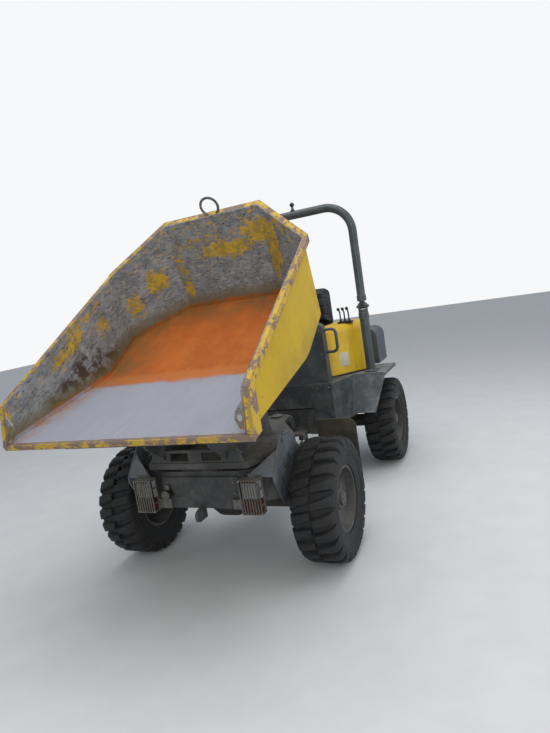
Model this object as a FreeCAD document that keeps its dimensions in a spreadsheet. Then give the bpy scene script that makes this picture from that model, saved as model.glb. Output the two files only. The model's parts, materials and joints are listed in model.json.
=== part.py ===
import FreeCAD, Part
import os
import re
import Sketcher

# Site dumper with a swivelling, forward-tipping skip, articulated in the middle.
# Millimetres. The machine faces -Y, +X is its left side and +Z is up.
# Every piece is drawn in the chassis frame: front axle over Y = 0, ground at Z = 0.
# The skip's pieces are drawn level in the skip frame: hinge axis at the origin.

SIZES = (
    # name, value, what it is
    ("tyre_diameter", 970, "over the lugs"),
    ("tyre_width", 345, "over the lugs"),
    ("rim_diameter", 540, "over the rim flanges"),
    ("rim_width", 270, "over the rim flanges"),
    ("flange_height", 24, "rim flange above the bead seat"),
    ("flange_width", 16, "foot of the rim flange"),
    ("rim_wall", 10, "rim well"),
    ("lug_height", 30, "rubber lug above the carcass"),
    ("lug_count", 20, "lugs round each side of the tread"),
    ("lug_length", 92, "lug along the tyre's circumference at the shoulder"),
    ("shoulder_slope", 34, "how far the lugs' sloped ends reach in from the side"),
    ("tyre_side_gap", 22.5, "between the rear body's side and the tyre"),
    ("wheelbase", 2346, "front axle to rear axle"),
    ("hub_radius", 95, "wheel hub"),
    ("axle_level", 485, "height of the wheel centres in the chassis frame"),
    ("axle_tube_radius", 72, "axle beam"),
    ("axle_flange", 40, "thickness of the axle's end flanges"),
    ("diff_radius", 150, "axle's round middle housing"),
    ("nose_radius", 68, "drive shaft's nose on that housing"),
    ("nose_length", 190, "drive shaft's nose"),
    ("saddle_width", 120, "block between axle and frame"),
    ("saddle_length", 140, "block between axle and frame"),
    ("pivot_y", 1173, "steering pin, behind the front axle"),
    ("pivot_z", 735, "height of the oscillation shaft"),
    ("pivot_pin_radius", 30, "steering pin"),
    ("swing_shaft_radius", 60, "oscillation shaft"),
    ("frame_bottom", 600, "underside of both frames"),
    ("frame_top", 870, "top of the front frame"),
    ("frame_wall", 12, "frame plates"),
    ("front_y", -420, "back of the front plate"),
    ("front_half", 340, "half width of the front plate"),
    ("shoulder_y", -250, "widest place of the front frame"),
    ("shoulder_inset", 50, "rear body's half width less the front frame's there"),
    ("waist_y", 540, "where the front frame narrows"),
    ("waist_half", 440, "half width there"),
    ("neck_y", 1000, "front frame's neck"),
    ("neck_half", 150, "half width there"),
    ("ring_radius", 430, "slew ring"),
    ("ring_height", 30, "slew ring"),
    ("table_radius", 500, "turntable disc"),
    ("table_thickness", 46, "turntable disc"),
    ("table_front_y", -450, "straight front edge of the turntable"),
    ("table_front_half", 440, "half width of that edge"),
    ("table_wall_height", 105, "turntable's front wall above its disc"),
    ("guard_in", 390, "lamp guard's inner side"),
    ("guard_out", 555, "lamp guard's outer side"),
    ("guard_low", 575, "underside of the lamp guard"),
    ("guard_high", 840, "top of the lamp guard"),
    ("guard_reach", 118, "lamp guard ahead of the front plate"),
    ("guard_bar", 8, "lamp guard's bars"),
    ("lamp_split", 687, "between the head lamp and the marker"),
    ("mud_y", 655, "mud plate, behind the front axle"),
    ("mud_in", 620, "mud plate's inner edge"),
    ("mud_out", 985, "mud plate's outer edge"),
    ("mud_low", 440, "foot of the mud plate"),
    ("mud_high", 955, "top of the mud plate"),
    ("arm_half", 280, "middle of each turntable arm from the centre line"),
    ("arm_thickness", 20, "turntable arm plate"),
    ("hinge_y", -600, "skip hinge, ahead of the front axle"),
    ("hinge_z", 1200, "skip hinge height"),
    ("hinge_pin_radius", 22, "skip hinge pins"),
    ("skip_tip", 32, "degrees the skip is tipped forward as it stands"),
    ("skip_half", 928, "half width over the skip's side sheets"),
    ("skip_wall", 8, "skip sheet"),
    ("lip_y", -464, "skip lip, in the skip frame"),
    ("lip_z", 503, "skip lip height over the hinge"),
    ("bend_y", 631, "where the ramp meets the flat bottom"),
    ("bend_radius", 620, "roll of that bend"),
    ("bottom_z", 127, "underside of the flat bottom over the hinge"),
    ("back_base_y", 1536, "foot of the back sheet"),
    ("back_lean", 17, "degrees the back leans from upright"),
    ("back_half", 468, "half width of the back sheet"),
    ("corner_depth", 376, "how far each chamfered corner reaches forward"),
    ("rim_z", 724, "side rim height over the hinge"),
    ("rim_front_y", -300, "front end of the side rim"),
    ("back_rim_z", 886, "rim height of the raised back"),
    ("rim_width_out", 37, "rim bar beyond the sheet"),
    ("rim_depth", 44, "rim bar"),
    ("lip_depth", 46, "lip bar"),
    ("lip_thickness", 16, "lip bar"),
    ("web_depth", 90, "tapered plate under the lip"),
    ("ring_bar", 11, "lifting ring bar"),
    ("lifting_radius", 80, "lifting ring"),
    ("beam_half", 280, "middle of each skip beam"),
    ("beam_gap", 34, "between the two plates of a beam"),
    ("beam_plate", 10, "skip beam plate"),
    ("beam_depth", 80, "skip beam below the bottom"),
    ("eye_y", 250, "tip cylinder's upper pin, in the skip frame"),
    ("eye_z", 100, "tip cylinder's upper pin, in the skip frame"),
    ("ram_base_y", 180, "tip cylinder's lower pin"),
    ("ram_base_z", 992, "tip cylinder's lower pin"),
    ("ram_barrel_radius", 45, "tip cylinder barrel"),
    ("ram_barrel_length", 520, "lower pin to the barrel's mouth"),
    ("ram_rod_radius", 24, "tip cylinder rod"),
    ("ram_rod_length", 520, "tip cylinder rod"),
    ("ram_pin_radius", 18, "tip cylinder pins"),
    ("steer_base_x", 330, "steering cylinder's front pin"),
    ("steer_base_y", 480, "steering cylinder's front pin"),
    ("steer_eye_x", 200, "steering cylinder's rear pin"),
    ("steer_eye_y", 1290, "steering cylinder's rear pin"),
    ("steer_z", 560, "height of the steering cylinder"),
    ("steer_barrel_radius", 32, "steering cylinder barrel"),
    ("steer_barrel_length", 480, "front pin to the barrel's mouth"),
    ("steer_rod_radius", 16, "steering cylinder rod"),
    ("steer_pin_radius", 13, "steering cylinder pins"),
    ("rear_front_y", 1420, "front of the rear body"),
    ("rear_half", 560, "half width there"),
    ("step_y", 1780, "where the rear body reaches its full width"),
    ("body_half", 690, "half width of the rear body"),
    ("rear_end_y", 2960, "end of the rear frame"),
    ("deck_z", 1140, "top of the platform and the fenders"),
    ("deck_bottom", 700, "lower edge of the platform's skirts"),
    ("deck_sheet", 6, "platform and fender sheet"),
    ("rail_half", 275, "middle of each rear frame rail"),
    ("rail_width", 60, "rear frame rail"),
    ("rail_top", 780, "top of the rear frame rails"),
    ("fender_half", 1050, "fender's outer edge"),
    ("fender_front_y", 1620, "foot of the fender's sloped front"),
    ("fender_end_y", 2400, "rear end of the fender"),
    ("cowl_half", 545, "half width of the front cowl"),
    ("cowl_top", 1780, "top of the front cowl"),
    ("cowl_depth", 110, "depth of the cowl's side flanges"),
    ("wheel_y", 1600, "middle of the steering wheel"),
    ("hood_front_y", 1700, "front of the hood's side consoles"),
    ("hood_nose_half", 490, "half width at that front"),
    ("hood_corner_y", 2050, "where the hood reaches its full width"),
    ("hood_half", 800, "half width of the hood"),
    ("hood_end_y", 2450, "rear end of the hood"),
    ("hood_bottom", 1150, "lower edge of the hood"),
    ("hood_top", 1700, "top of the hood"),
    ("hood_wall", 8, "hood moulding"),
    ("hood_corner", 110, "rounding of the hood's upright corners"),
    ("hood_edge", 80, "rounding of the hood's top edges"),
    ("hood_hinge_z", 1600, "hood hinge, 6 behind the hood's rear edge"),
    ("hinge_half", 520, "middle of each hood hinge from the centre line"),
    ("seat_x", 130, "seat's centre line"),
    ("seat_bay_half", 290, "half width of the seat bay in the hood"),
    ("seat_bay_y", 1920, "front of the seat base"),
    ("seat_base_z", 1500, "seat base"),
    ("seat_half", 255, "half width of the seat"),
    ("cover_half", 860, "half width of the rear cover"),
    ("cover_top", 1565, "top of the rear cover"),
    ("cover_end_y", 3010, "rear end of the rear cover"),
    ("cover_round", 110, "rounding of the rear cover's top and corners"),
    ("bar_half", 868, "middle of each roll bar leg"),
    ("bar_y", 1950, "roll bar"),
    ("bar_radius", 45, "roll bar's hoop"),
    ("leg_radius", 50, "roll bar's legs"),
    ("fold_clear", 58, "fold pin to the hoop's tube"),
    ("bar_fold_z", 1860, "roll bar's folding hinge"),
    ("bar_top", 2965, "middle of the roll bar's top tube"),
    ("bar_bend", 290, "bend radius of the roll bar"),
    ("fit_gap", 0.3, "between curved faces of different bodies"),
    ("pin_gap", 0.05, "radial play of a pin in its bore"),
)
NAMES = [row[0] for row in SIZES]

doc = FreeCAD.newDocument("site_dumper")
sheet = doc.addObject("Spreadsheet::Sheet", "Sizes")
for row_number, (name, value, meaning) in enumerate(SIZES, start=1):
    sheet.set("A%d" % row_number, str(value))
    sheet.setAlias("A%d" % row_number, name)
    sheet.set("B%d" % row_number, meaning)
# the middle of the whole machine is set once everything stands in place
sheet.set("A%d" % (len(SIZES) + 1), "0")
sheet.setAlias("A%d" % (len(SIZES) + 1), "middle_y")
NAMES.append("middle_y")
doc.recompute()

ALIAS = re.compile(r"\b(" + "|".join(NAMES) + r")\b")
V = FreeCAD.Vector
PARTS = {}


# Helpers that tie objects to the sheet


def linked(formula):
    """The formula with each size's name pointed at the sheet."""
    return ALIAS.sub(r"Sizes.\1", str(formula))


def amount(formula):
    """The formula's present value."""
    return float(sheet.evalExpression(linked(formula)))


def tie(item, prop, formula):
    item.setExpression(prop, linked(formula))


def put(item, x=0, y=0, z=0):
    """Ties the item's place to three formulas."""
    for axis, formula in zip("xyz", (x, y, z)):
        tie(item, "Placement.Base." + axis, formula)
    return item


def turned(axis, degrees):
    return FreeCAD.Placement(V(0, 0, 0), FreeCAD.Rotation(axis, degrees))


def box(name, x, y, z):
    """A box between two formulas on each axis."""
    item = doc.addObject("Part::Box", name)
    for prop, (low, high) in zip(("Length", "Width", "Height"), (x, y, z)):
        tie(item, prop, "(%s) - (%s)" % (high, low))
    return put(item, x[0], y[0], z[0])


AXES = {"X": turned(V(0, 1, 0), 90), "Y": turned(V(1, 0, 0), -90), "Z": turned(V(0, 0, 1), 0)}


def rod(name, axis, at, radius, length):
    """A cylinder from a point along +X, +Y or +Z."""
    item = doc.addObject("Part::Cylinder", name)
    item.Placement = AXES[axis]
    tie(item, "Radius", radius)
    tie(item, "Height", length)
    return put(item, *at)


def profile(body, name, plane, outline, start="0", circles=(), closed=True):
    """A fully constrained sketch of (across, up, corner radius) points, each tied to the sheet."""
    sketch = body.newObject("Sketcher::SketchObject", name)
    support = [f for f in body.Origin.OriginFeatures if f.Role == plane][0]
    sketch.AttachmentSupport = (support, [""])
    sketch.MapMode = "FlatFace"
    facing = "-(%s)" % start if plane == "XZ_Plane" else start
    tie(sketch, "AttachmentOffset.Base.z", facing)
    points = [V(amount(point[0]), amount(point[1]), 0) for point in outline]
    count = len(points)
    lines = count if closed else count - 1
    for i in range(lines):
        sketch.addGeometry(Part.LineSegment(points[i], points[(i + 1) % count]), False)
    for i in range(lines if closed else lines - 1):
        sketch.addConstraint(Sketcher.Constraint("Coincident", i, 2, (i + 1) % count, 1))
    ties = []
    for i, point in enumerate(outline):
        line, end = (i, 1) if i < lines else (i - 1, 2)
        for letter, number in (("X", 0), ("Y", 1)):
            here = Sketcher.Constraint("Distance" + letter, -1, 1, line, end, points[i][number])
            sketch.renameConstraint(sketch.addConstraint(here), "p%d%s" % (i, letter))
            ties.append(("p%d%s" % (i, letter), point[number]))
    for i, point in enumerate(outline):
        if len(point) > 2:
            arc = sketch.GeometryCount
            sketch.fillet(i, 1, amount(point[2]), True, True)
            bend = Sketcher.Constraint("Radius", arc, amount(point[2]))
            sketch.renameConstraint(sketch.addConstraint(bend), "r%d" % i)
            ties.append(("r%d" % i, point[2]))
    for i, (across, up, radius) in enumerate(circles):
        centre = V(amount(across), amount(up), 0)
        ring = sketch.addGeometry(Part.Circle(centre, V(0, 0, 1), amount(radius)), False)
        for letter, formula, number in (("X", across, centre.x), ("Y", up, centre.y)):
            here = Sketcher.Constraint("Distance" + letter, -1, 1, ring, 3, number)
            sketch.renameConstraint(sketch.addConstraint(here), "c%d%s" % (i, letter))
            ties.append(("c%d%s" % (i, letter), formula))
        size = Sketcher.Constraint("Radius", ring, amount(radius))
        sketch.renameConstraint(sketch.addConstraint(size), "c%dR" % i)
        ties.append(("c%dR" % i, radius))
    for constraint, formula in ties:
        tie(sketch, "Constraints." + constraint, formula)
    return sketch


def plate(name, plane, outline, start, thickness, circles=()):
    """A flat piece: an outline on XY, XZ or YZ, padded towards the plane's plus side."""
    body = doc.addObject("PartDesign::Body", name)
    pad = body.newObject("PartDesign::Pad", name + "_pad")
    pad.Profile = profile(body, name + "_outline", plane, outline, start, circles)
    pad.Reversed = plane == "XZ_Plane"
    tie(pad, "Length", thickness)
    return body


def rounded(body, name, radius, chosen):
    """Rounds the edges of a body that a test of their middle and direction picks out."""
    doc.recompute()
    source = body.Tip
    names = []
    for number, edge in enumerate(source.Shape.Edges, start=1):
        if chosen(edge.BoundBox.Center, edge.BoundBox):
            names.append("Edge%d" % number)
    soft = body.newObject("PartDesign::Fillet", name)
    soft.Base = (source, names)
    tie(soft, "Radius", radius)
    body.Tip = soft
    return body


def revolved(name, outline):
    """A ring or disc about the X axis, from (along the axis, radius) points."""
    body = doc.addObject("PartDesign::Body", name)
    sketch = profile(body, name + "_outline", "XY_Plane", outline)
    turn = body.newObject("PartDesign::Revolution", name + "_turn")
    turn.Profile = sketch
    turn.ReferenceAxis = (sketch, ["H_Axis"])
    turn.Angle = 360
    return body


def bent_bar(name, plane, start, points, radius):
    """A round bar along a path of (across, up, bend radius) points."""
    body = doc.addObject("PartDesign::Body", name)
    spine = profile(body, name + "_path", plane, points, start, closed=False)
    doc.recompute()
    ring = body.newObject("Sketcher::SketchObject", name + "_section")
    ring.AttachmentSupport = [(spine, "Edge1")]
    ring.MapMode = "NormalToEdge"
    ring.MapPathParameter = 0.0
    ring.addGeometry(Part.Circle(V(0, 0, 0), V(0, 0, 1), amount(radius)), False)
    ring.addConstraint(Sketcher.Constraint("Coincident", 0, 3, -1, 1))
    size = ring.addConstraint(Sketcher.Constraint("Radius", 0, amount(radius)))
    tie(ring, "Constraints[%d]" % size, radius)
    pipe = body.newObject("PartDesign::AdditivePipe", name + "_bar")
    pipe.Profile = ring
    pipe.Spine = spine
    return body


def joined(name, *items):
    item = doc.addObject("Part::MultiFuse", name)
    item.Shapes = list(items)
    item.Refine = True
    return item


def cut(name, base, tool):
    item = doc.addObject("Part::Cut", name)
    item.Base = base
    item.Tool = tool
    return item


def shared(name, first, second):
    item = doc.addObject("Part::Common", name)
    item.Base = first
    item.Tool = second
    return item


def mirrored(name, source):
    """The same piece on the machine's other side."""
    item = doc.addObject("Part::Mirroring", name)
    item.Source = source
    item.Normal = V(1, 0, 0)
    return item


def held(name, *items):
    """Pieces kept as they stand, to be placed together."""
    item = doc.addObject("Part::Compound", name)
    item.Links = list(items)
    return item


def pair(name, source):
    """A piece and its mirror image as one sub-part."""
    item = doc.addObject("Part::Compound", name)
    item.Links = [source, mirrored(name + "_right", source)]
    return item


TRACK = "(2 * (body_half + tyre_side_gap) + tyre_width)"
SHOULDER = "(body_half - shoulder_inset)"
# the chassis frame rises with the wheels, so that they stay on the ground
LIFT = "(tyre_diameter/2 - axle_level)"
CHASSIS = "placement(vector(0; -middle_y; %s); rotation(vector(1; 0; 0); 0))" % LIFT
SKIP = "placement(vector(0; hinge_y - middle_y; hinge_z + %s); rotation(vector(1; 0; 0); skip_tip))" % LIFT


def piece(label, item, place=CHASSIS):
    """Registers a finished sub-part under the name of its file."""
    if item.TypeId in ("Part::Box", "Part::Cylinder", "Part::Torus"):
        item = held(label + "_held", item)
    item.Label = label
    tie(item, "Placement", place)
    PARTS[label] = item
    return item


# Wheels


def tyre():
    """Carcass with two staggered rows of slanted lugs."""
    body = doc.addObject("PartDesign::Body", "Tyre")
    sketch = profile(body, "Tyre_section", "XY_Plane", (
        ("-rim_width/2 + flange_width + 1", "rim_diameter/2 - flange_height + fit_gap"),
        ("-rim_width/2 + 13", "rim_diameter/2 + 4"),
        ("-rim_width/2 - 14", "rim_diameter/2 + 14"),
        ("-tyre_width/2 + 4", "(rim_diameter + tyre_diameter)/4"),
        ("-tyre_width/2 + 12", "tyre_diameter/2 - 75"),
        ("-tyre_width/2 + 62", "tyre_diameter/2 - lug_height"),
        ("tyre_width/2 - 62", "tyre_diameter/2 - lug_height"),
        ("tyre_width/2 - 12", "tyre_diameter/2 - 75"),
        ("tyre_width/2 - 4", "(rim_diameter + tyre_diameter)/4"),
        ("rim_width/2 + 14", "rim_diameter/2 + 14"),
        ("rim_width/2 - 13", "rim_diameter/2 + 4"),
        ("rim_width/2 - flange_width - 1", "rim_diameter/2 - flange_height + fit_gap"),
    ))
    turn = body.newObject("PartDesign::Revolution", "Tyre_carcass")
    turn.Profile = sketch
    turn.ReferenceAxis = (sketch, ["H_Axis"])
    turn.Angle = 360
    base = "(tyre_diameter/2 - 70)"
    for side, sign, stagger in (("left", "1", "0"), ("right", "-1", "180 / lug_count")):
        # each lug starts at the shoulder and slants past the middle of the tread
        edge = sign + " * (tyre_width/2 - %s)"
        turn = "rotation(vector(1; 0; 0); %s))" % stagger
        lug = profile(body, "Lug_" + side, "XY_Plane", (
            (edge % "2", "-lug_length/2 - 16"),
            (edge % "2", "lug_length/2 - 16"),
            (sign + " * 5", "lug_length/2 + 16"),
            (sign + " * 5", "-lug_length/2 + 30"),
            (edge % "shoulder_slope * 2.4", "-lug_length/2 - 10"),
        ))
        lug.setExpression("AttachmentOffset.Base.z", None)
        tie(lug, "AttachmentOffset", "placement(vector(0; 0 - %s * sin(%s); %s * cos(%s)); %s"
            % (base, stagger, base, stagger, turn))
        pad = body.newObject("PartDesign::Pad", "Lug_%s_pad" % side)
        pad.Profile = lug
        tie(pad, "Length", "sqrt((tyre_diameter/2)^2 - (lug_length/2 + 16)^2) - %s" % base)
        slope = profile(body, "Slope_" + side, "XZ_Plane", (
            (edge % "shoulder_slope", "tyre_diameter/2 + 20"),
            (edge % "shoulder_slope", "tyre_diameter/2 - 6"),
            (edge % "0", "tyre_diameter/2 - 74"),
            (edge % "(0 - 20)", "tyre_diameter/2 - 74"),
            (edge % "(0 - 20)", "tyre_diameter/2 + 20"),
        ))
        slope.setExpression("AttachmentOffset.Base.z", None)
        tie(slope, "AttachmentOffset", "placement(vector(0; 0; 0); %s" % turn)
        pocket = body.newObject("PartDesign::Pocket", "Slope_%s_pocket" % side)
        pocket.Profile = slope
        pocket.Midplane = True
        tie(pocket, "Length", "lug_length + 30")
        ring = body.newObject("PartDesign::PolarPattern", "Lug_%s_ring" % side)
        ring.Originals = [pad, pocket]
        ring.Axis = (sketch, ["H_Axis"])
        ring.Angle = 360
        tie(ring, "Occurrences", "lug_count")
        body.Tip = ring
    return body


def wheel_rim():
    """Rim well with its disc and hub; the dished side faces +X."""
    return revolved("Rim", (
        ("-rim_width/2", "rim_diameter/2"),
        ("-rim_width/2 + 12", "rim_diameter/2"),
        ("-rim_width/2 + flange_width", "rim_diameter/2 - flange_height"),
        ("rim_width/2 - flange_width", "rim_diameter/2 - flange_height"),
        ("rim_width/2 - 12", "rim_diameter/2"),
        ("rim_width/2", "rim_diameter/2"),
        ("rim_width/2", "rim_diameter/2 - flange_height - rim_wall"),
        ("62", "rim_diameter/2 - 40"),
        ("52", "rim_diameter/2 - 60", "14"),
        ("40", "hub_radius + 40", "14"),
        ("58", "hub_radius + 10"),
        ("58", "hub_radius"),
        ("92", "hub_radius - 14"),
        ("100", "hub_radius - 50"),
        ("100", "0"),
        ("28", "0"),
        ("28", "hub_radius + 44"),
        ("40", "rim_diameter/2 - 52"),
        ("40", "rim_diameter/2 - 40"),
        ("-rim_width/2", "rim_diameter/2 - flange_height - rim_wall"),
    ))


WHEELS = (
    # name, side, distance behind the front axle
    ("front_left", 1, "0"),
    ("front_right", -1, "0"),
    ("rear_left", 1, "wheelbase"),
    ("rear_right", -1, "wheelbase"),
)
tyre_master = tyre()
rim_master = wheel_rim()
for name, side, behind in WHEELS:
    spot = ("placement(vector(%d * " + TRACK + "/2; %s - middle_y; tyre_diameter/2);"
            " rotation(vector(0; 0; 1); %d))")
    for kind, master in (("tyre", tyre_master), ("rim", rim_master)):
        item = doc.addObject("Part::Compound", "%s_%s_copy" % (kind, name))
        item.Links = [master]
        piece("%s_%s" % (kind, name), item, spot % (side, behind, 0 if side > 0 else 180))


# Front chassis


FRONT_OUTLINE = (
    ("front_half", "front_y"),
    (SHOULDER, "shoulder_y"),
    ("waist_half", "waist_y"),
    ("neck_half", "neck_y"),
)


def both_sides(points, inset="0", corners=()):
    """A closed outline from the points of the left side, each moved in by the inset."""
    left = [("%s - %s" % (p[0], inset), p[1]) + tuple(p[2:]) for p in points]
    right = [("-(%s - %s)" % (p[0], inset), p[1]) + tuple(p[2:]) for p in reversed(points)]
    return tuple(left + right)


def front_frame():
    """Tapered box frame, open below, with the steering ears at its neck."""
    outer = plate("Front_box", "XY_Plane", both_sides(FRONT_OUTLINE), "frame_bottom", "frame_top - frame_bottom")
    inner_points = (
        ("front_half", "front_y + frame_wall"),
        (SHOULDER, "shoulder_y"),
        ("waist_half", "waist_y"),
        ("neck_half", "neck_y - frame_wall"),
    )
    inner = plate("Front_hollow", "XY_Plane", both_sides(inner_points, "frame_wall * 1.2"),
                  "frame_bottom - 10", "frame_top - frame_bottom - frame_wall + 10")
    shell = cut("Front_shell", outer, inner)
    front = box("Front_plate", ("-front_half", "front_half"), ("front_y - 20", "front_y"),
                ("frame_bottom - 20", "frame_top - 40"))
    ears = []
    for name, low in (("Low_ear", "frame_bottom"), ("High_ear", "frame_top - 30")):
        ears.append(plate(name, "XY_Plane", (
            ("neck_half", "neck_y - 10"),
            ("neck_half - 10", "pivot_y + 20"),
            ("90", "pivot_y + 85", "70"),
            ("-90", "pivot_y + 85", "70"),
            ("-(neck_half - 10)", "pivot_y + 20"),
            ("-neck_half", "neck_y - 10"),
        ), low, "30", (("0", "pivot_y", "pivot_pin_radius + pin_gap"),)))
    tow = plate("Tow_lug", "YZ_Plane", (
        ("front_y - 140", "frame_bottom - 95", "38"),
        ("front_y", "frame_bottom - 95"),
        ("front_y", "frame_bottom + 5"),
        ("front_y - 60", "frame_bottom + 5"),
        ("front_y - 140", "frame_bottom - 15", "38"),
    ), "-12", "24", (("front_y - 100", "frame_bottom - 55", "17"),))
    shelf = box("Steer_shelf", ("steer_base_x - 60", "waist_half + 6"),
                ("steer_base_y - 40", "steer_base_y + 40"), ("frame_bottom", "frame_bottom + 14"))
    pin = rod("Steer_pin", "Z", ("steer_base_x", "steer_base_y", "steer_z - 34"), "steer_pin_radius",
              "frame_bottom - steer_z + 40")
    return joined("Front_frame", shell, front, tow, shelf, pin, *ears)


def axle(name, y, nose_start, saddle_x):
    """Turned beam with its round middle and end flanges, a nose for the shaft and saddles under the frame."""
    face = "(%s/2 + 28 - fit_gap)" % TRACK
    left = (
        (face, "0"),
        (face, "hub_radius + 25"),
        (face + " - axle_flange", "hub_radius + 25"),
        (face + " - axle_flange", "axle_tube_radius"),
        ("diff_radius * 1.4", "axle_tube_radius", "axle_flange"),
        ("diff_radius / 2", "diff_radius", "axle_flange * 1.5"),
    )
    right = [("0 - (%s)" % point[0],) + tuple(point[1:]) for point in reversed(left)]
    beam = revolved(name + "_beam", left + tuple(right))
    put(beam, 0, y, "axle_level")
    nose = rod(name + "_nose", "Y", (0, "%s + %s" % (y, nose_start), "axle_level"), "nose_radius", "nose_length")
    saddles = []
    for side, middle in (("left", saddle_x), ("right", "0 - " + saddle_x)):
        saddles.append(box("%s_%s_saddle" % (name, side),
                           (middle + " - saddle_width/2", middle + " + saddle_width/2"),
                           (y + " - saddle_length/2", y + " + saddle_length/2"),
                           ("axle_level + axle_tube_radius/2 - 6", "frame_bottom")))
    return joined(name, beam, nose, *saddles)


def mud_plate():
    """Upright plate behind the front tyre on its bracket."""
    flap = plate("Mud_flap", "XZ_Plane", (
        ("mud_in", "mud_low"),
        ("mud_out", "mud_low"),
        ("mud_out", "mud_high", "80"),
        ("mud_in", "mud_high"),
    ), "mud_y", "8")
    half = "(waist_half + (waist_y - (%s)) * (" + SHOULDER + " - waist_half) / (waist_y - shoulder_y) + fit_gap)"
    front, back = "mud_y - 155", "mud_y - 120"
    arm = plate("Mud_arm", "XY_Plane", (
        (half % front, front),
        ("mud_in + 20", front),
        ("mud_in + 20", back),
        (half % back, back),
    ), "frame_bottom + 100", "60")
    foot = box("Mud_foot", ("mud_in - 15", "mud_in + 20"), (front, "mud_y"),
               ("frame_bottom + 100", "frame_bottom + 160"))
    return joined("Mud_left", flap, arm, foot)


GUARD_FACE, GUARD_BACK = "front_y - guard_reach", "front_y - 40"


def lamp_guard():
    """Open cage of flat bars round a head lamp."""
    width = ("guard_in", "guard_out")
    items = [box("Guard_back", width, (GUARD_BACK + " - 6", GUARD_BACK), ("guard_low", "guard_high"))]
    for name, low in (("shelf", "guard_high - 6"), ("base", "guard_low")):
        items.append(box("Guard_" + name, width, (GUARD_FACE, GUARD_BACK), (low, low + " + 6")))
    for i in range(8):
        across = "guard_in + %d * (guard_out - guard_in - guard_bar) / 7" % i
        items.append(box("Guard_bar_%d" % i, (across, across + " + guard_bar"),
                         (GUARD_FACE, GUARD_FACE + " + guard_bar"), ("guard_low", "guard_high")))
    for side, low in (("inner", "guard_in"), ("outer", "guard_out - 6")):
        for i, height in enumerate(("guard_low + 65", "guard_high - 80")):
            items.append(box("Guard_rail_%s_%d" % (side, i), (low, low + " + 6"), (GUARD_FACE, GUARD_BACK),
                             (height, height + " + 10")))
    items.append(box("Guard_arm", ("front_half - 60", "guard_out - 55"), ("front_y - 40", "front_y - 20"),
                     ("guard_low + 9", "guard_low + 85")))
    return joined("Guard_left", *items)


def lamp(name, low, high):
    """One lamp of the pair inside the guard."""
    return box(name, ("guard_in + 14", "guard_out - 14"), (GUARD_FACE + " + 14", GUARD_BACK + " - 6"), (low, high))


piece("front_frame", front_frame())
piece("front_axle", axle("Front_axle", "0", "20", "(waist_half + 105)"))
piece("mud_plates", pair("Mud_plates", mud_plate()))
piece("lamp_guards", pair("Lamp_guards", lamp_guard()))
piece("head_lamps", pair("Head_lamps", lamp("Lamp_glass", "lamp_split + 3", "guard_high - 20")))
piece("front_markers", pair("Front_markers", lamp("Marker_glass", "guard_low + 17", "lamp_split - 3")))
piece("horn", rod("Horn", "Y", ("-290", "front_y - 82", "705"), "34", "62"))
piece("slew_ring", rod("Slew_ring", "Z", (0, 0, "frame_top"), "ring_radius", "ring_height - fit_gap"))


# Turntable with the skip hinge arms


def turntable():
    disc = plate("Table_disc", "XY_Plane", both_sides((
        ("table_front_half", "table_front_y", "30"),
        ("table_radius + 50", "-200", "60"),
        ("table_radius", "240", "120"),
        ("280", "table_radius - 20", "120"),
    )), "frame_top + ring_height", "table_thickness")
    top = "frame_top + ring_height + table_thickness"
    wall = plate("Table_wall", "XZ_Plane", both_sides((
        ("table_front_half - 20", top + " - 4"),
        ("table_front_half - 60", top + " + table_wall_height", "24"),
    )), "table_front_y + 10", "16")
    pockets = [box("Table_pocket_%d" % i, (low, low + " + 170"), ("table_front_y - 10", "table_front_y + 40"),
                   (top + " + 16", top + " + table_wall_height - 24")) for i, low in enumerate(("60", "0 - 230"))]
    wall = cut("Table_front", wall, joined("Table_pockets", *pockets))
    cheeks = [plate("Table_cheek_%d" % i, "YZ_Plane", (
        ("table_front_y + 20", top + " - 4"),
        ("table_front_y + 320", top + " - 4"),
        ("table_front_y + 20", top + " + table_wall_height - 4"),
    ), low, "12") for i, low in enumerate(("table_front_half - 72", "60 - table_front_half"))]
    arms = []
    for side, low in (("left", "arm_half - arm_thickness/2"), ("right", "-arm_half - arm_thickness/2")):
        arms.append(plate("Arm_" + side, "YZ_Plane", (
            ("-400", top + " - 4"),
            ("400", top + " - 4"),
            ("330", "hinge_z + 20", "60"),
            ("hinge_y + 120", "hinge_z + 20", "90"),
            ("hinge_y - 60", "hinge_z + 62", "60"),
            ("hinge_y - 60", "hinge_z - 62", "60"),
        ), low, "arm_thickness", (("hinge_y", "hinge_z", "hinge_pin_radius + pin_gap"),)))
    cross = box("Table_cross", ("-arm_half", "arm_half"), ("330", "345"), (top + " - 4", "hinge_z - 60"))
    lugs = []
    for side, low in (("left", "31"), ("right", "-43")):
        lugs.append(plate("Ram_base_" + side, "YZ_Plane", (
            ("ram_base_y - 60", top + " - 4"),
            ("ram_base_y + 60", top + " - 4"),
            ("ram_base_y + 36", "ram_base_z + 36", "34"),
            ("ram_base_y - 36", "ram_base_z + 36", "34"),
        ), low, "12"))
    pin = rod("Ram_base_pin", "X", ("-43", "ram_base_y", "ram_base_z"), "ram_pin_radius", "86")
    return joined("Turntable", disc, wall, cross, pin, *(arms + lugs + cheeks))


piece("turntable", turntable())


# Tip cylinder, drawn along +Z from its lower pin and leaned to the skip's pin


EYE_Y = "(hinge_y + eye_y * cos(skip_tip) - eye_z * sin(skip_tip))"
EYE_Z = "(hinge_z + eye_y * sin(skip_tip) + eye_z * cos(skip_tip))"
RAM_LEAN = "(90 - atan((%s - ram_base_z) / (ram_base_y - %s)) / 1deg)" % (EYE_Z, EYE_Y)
RAM_REACH = "sqrt((%s - ram_base_y)^2 + (%s - ram_base_z)^2)" % (EYE_Y, EYE_Z)
RAM = ("placement(vector(0; ram_base_y - middle_y; ram_base_z + %s);"
       " rotation(vector(1; 0; 0); %s))" % (LIFT, RAM_LEAN))


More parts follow.
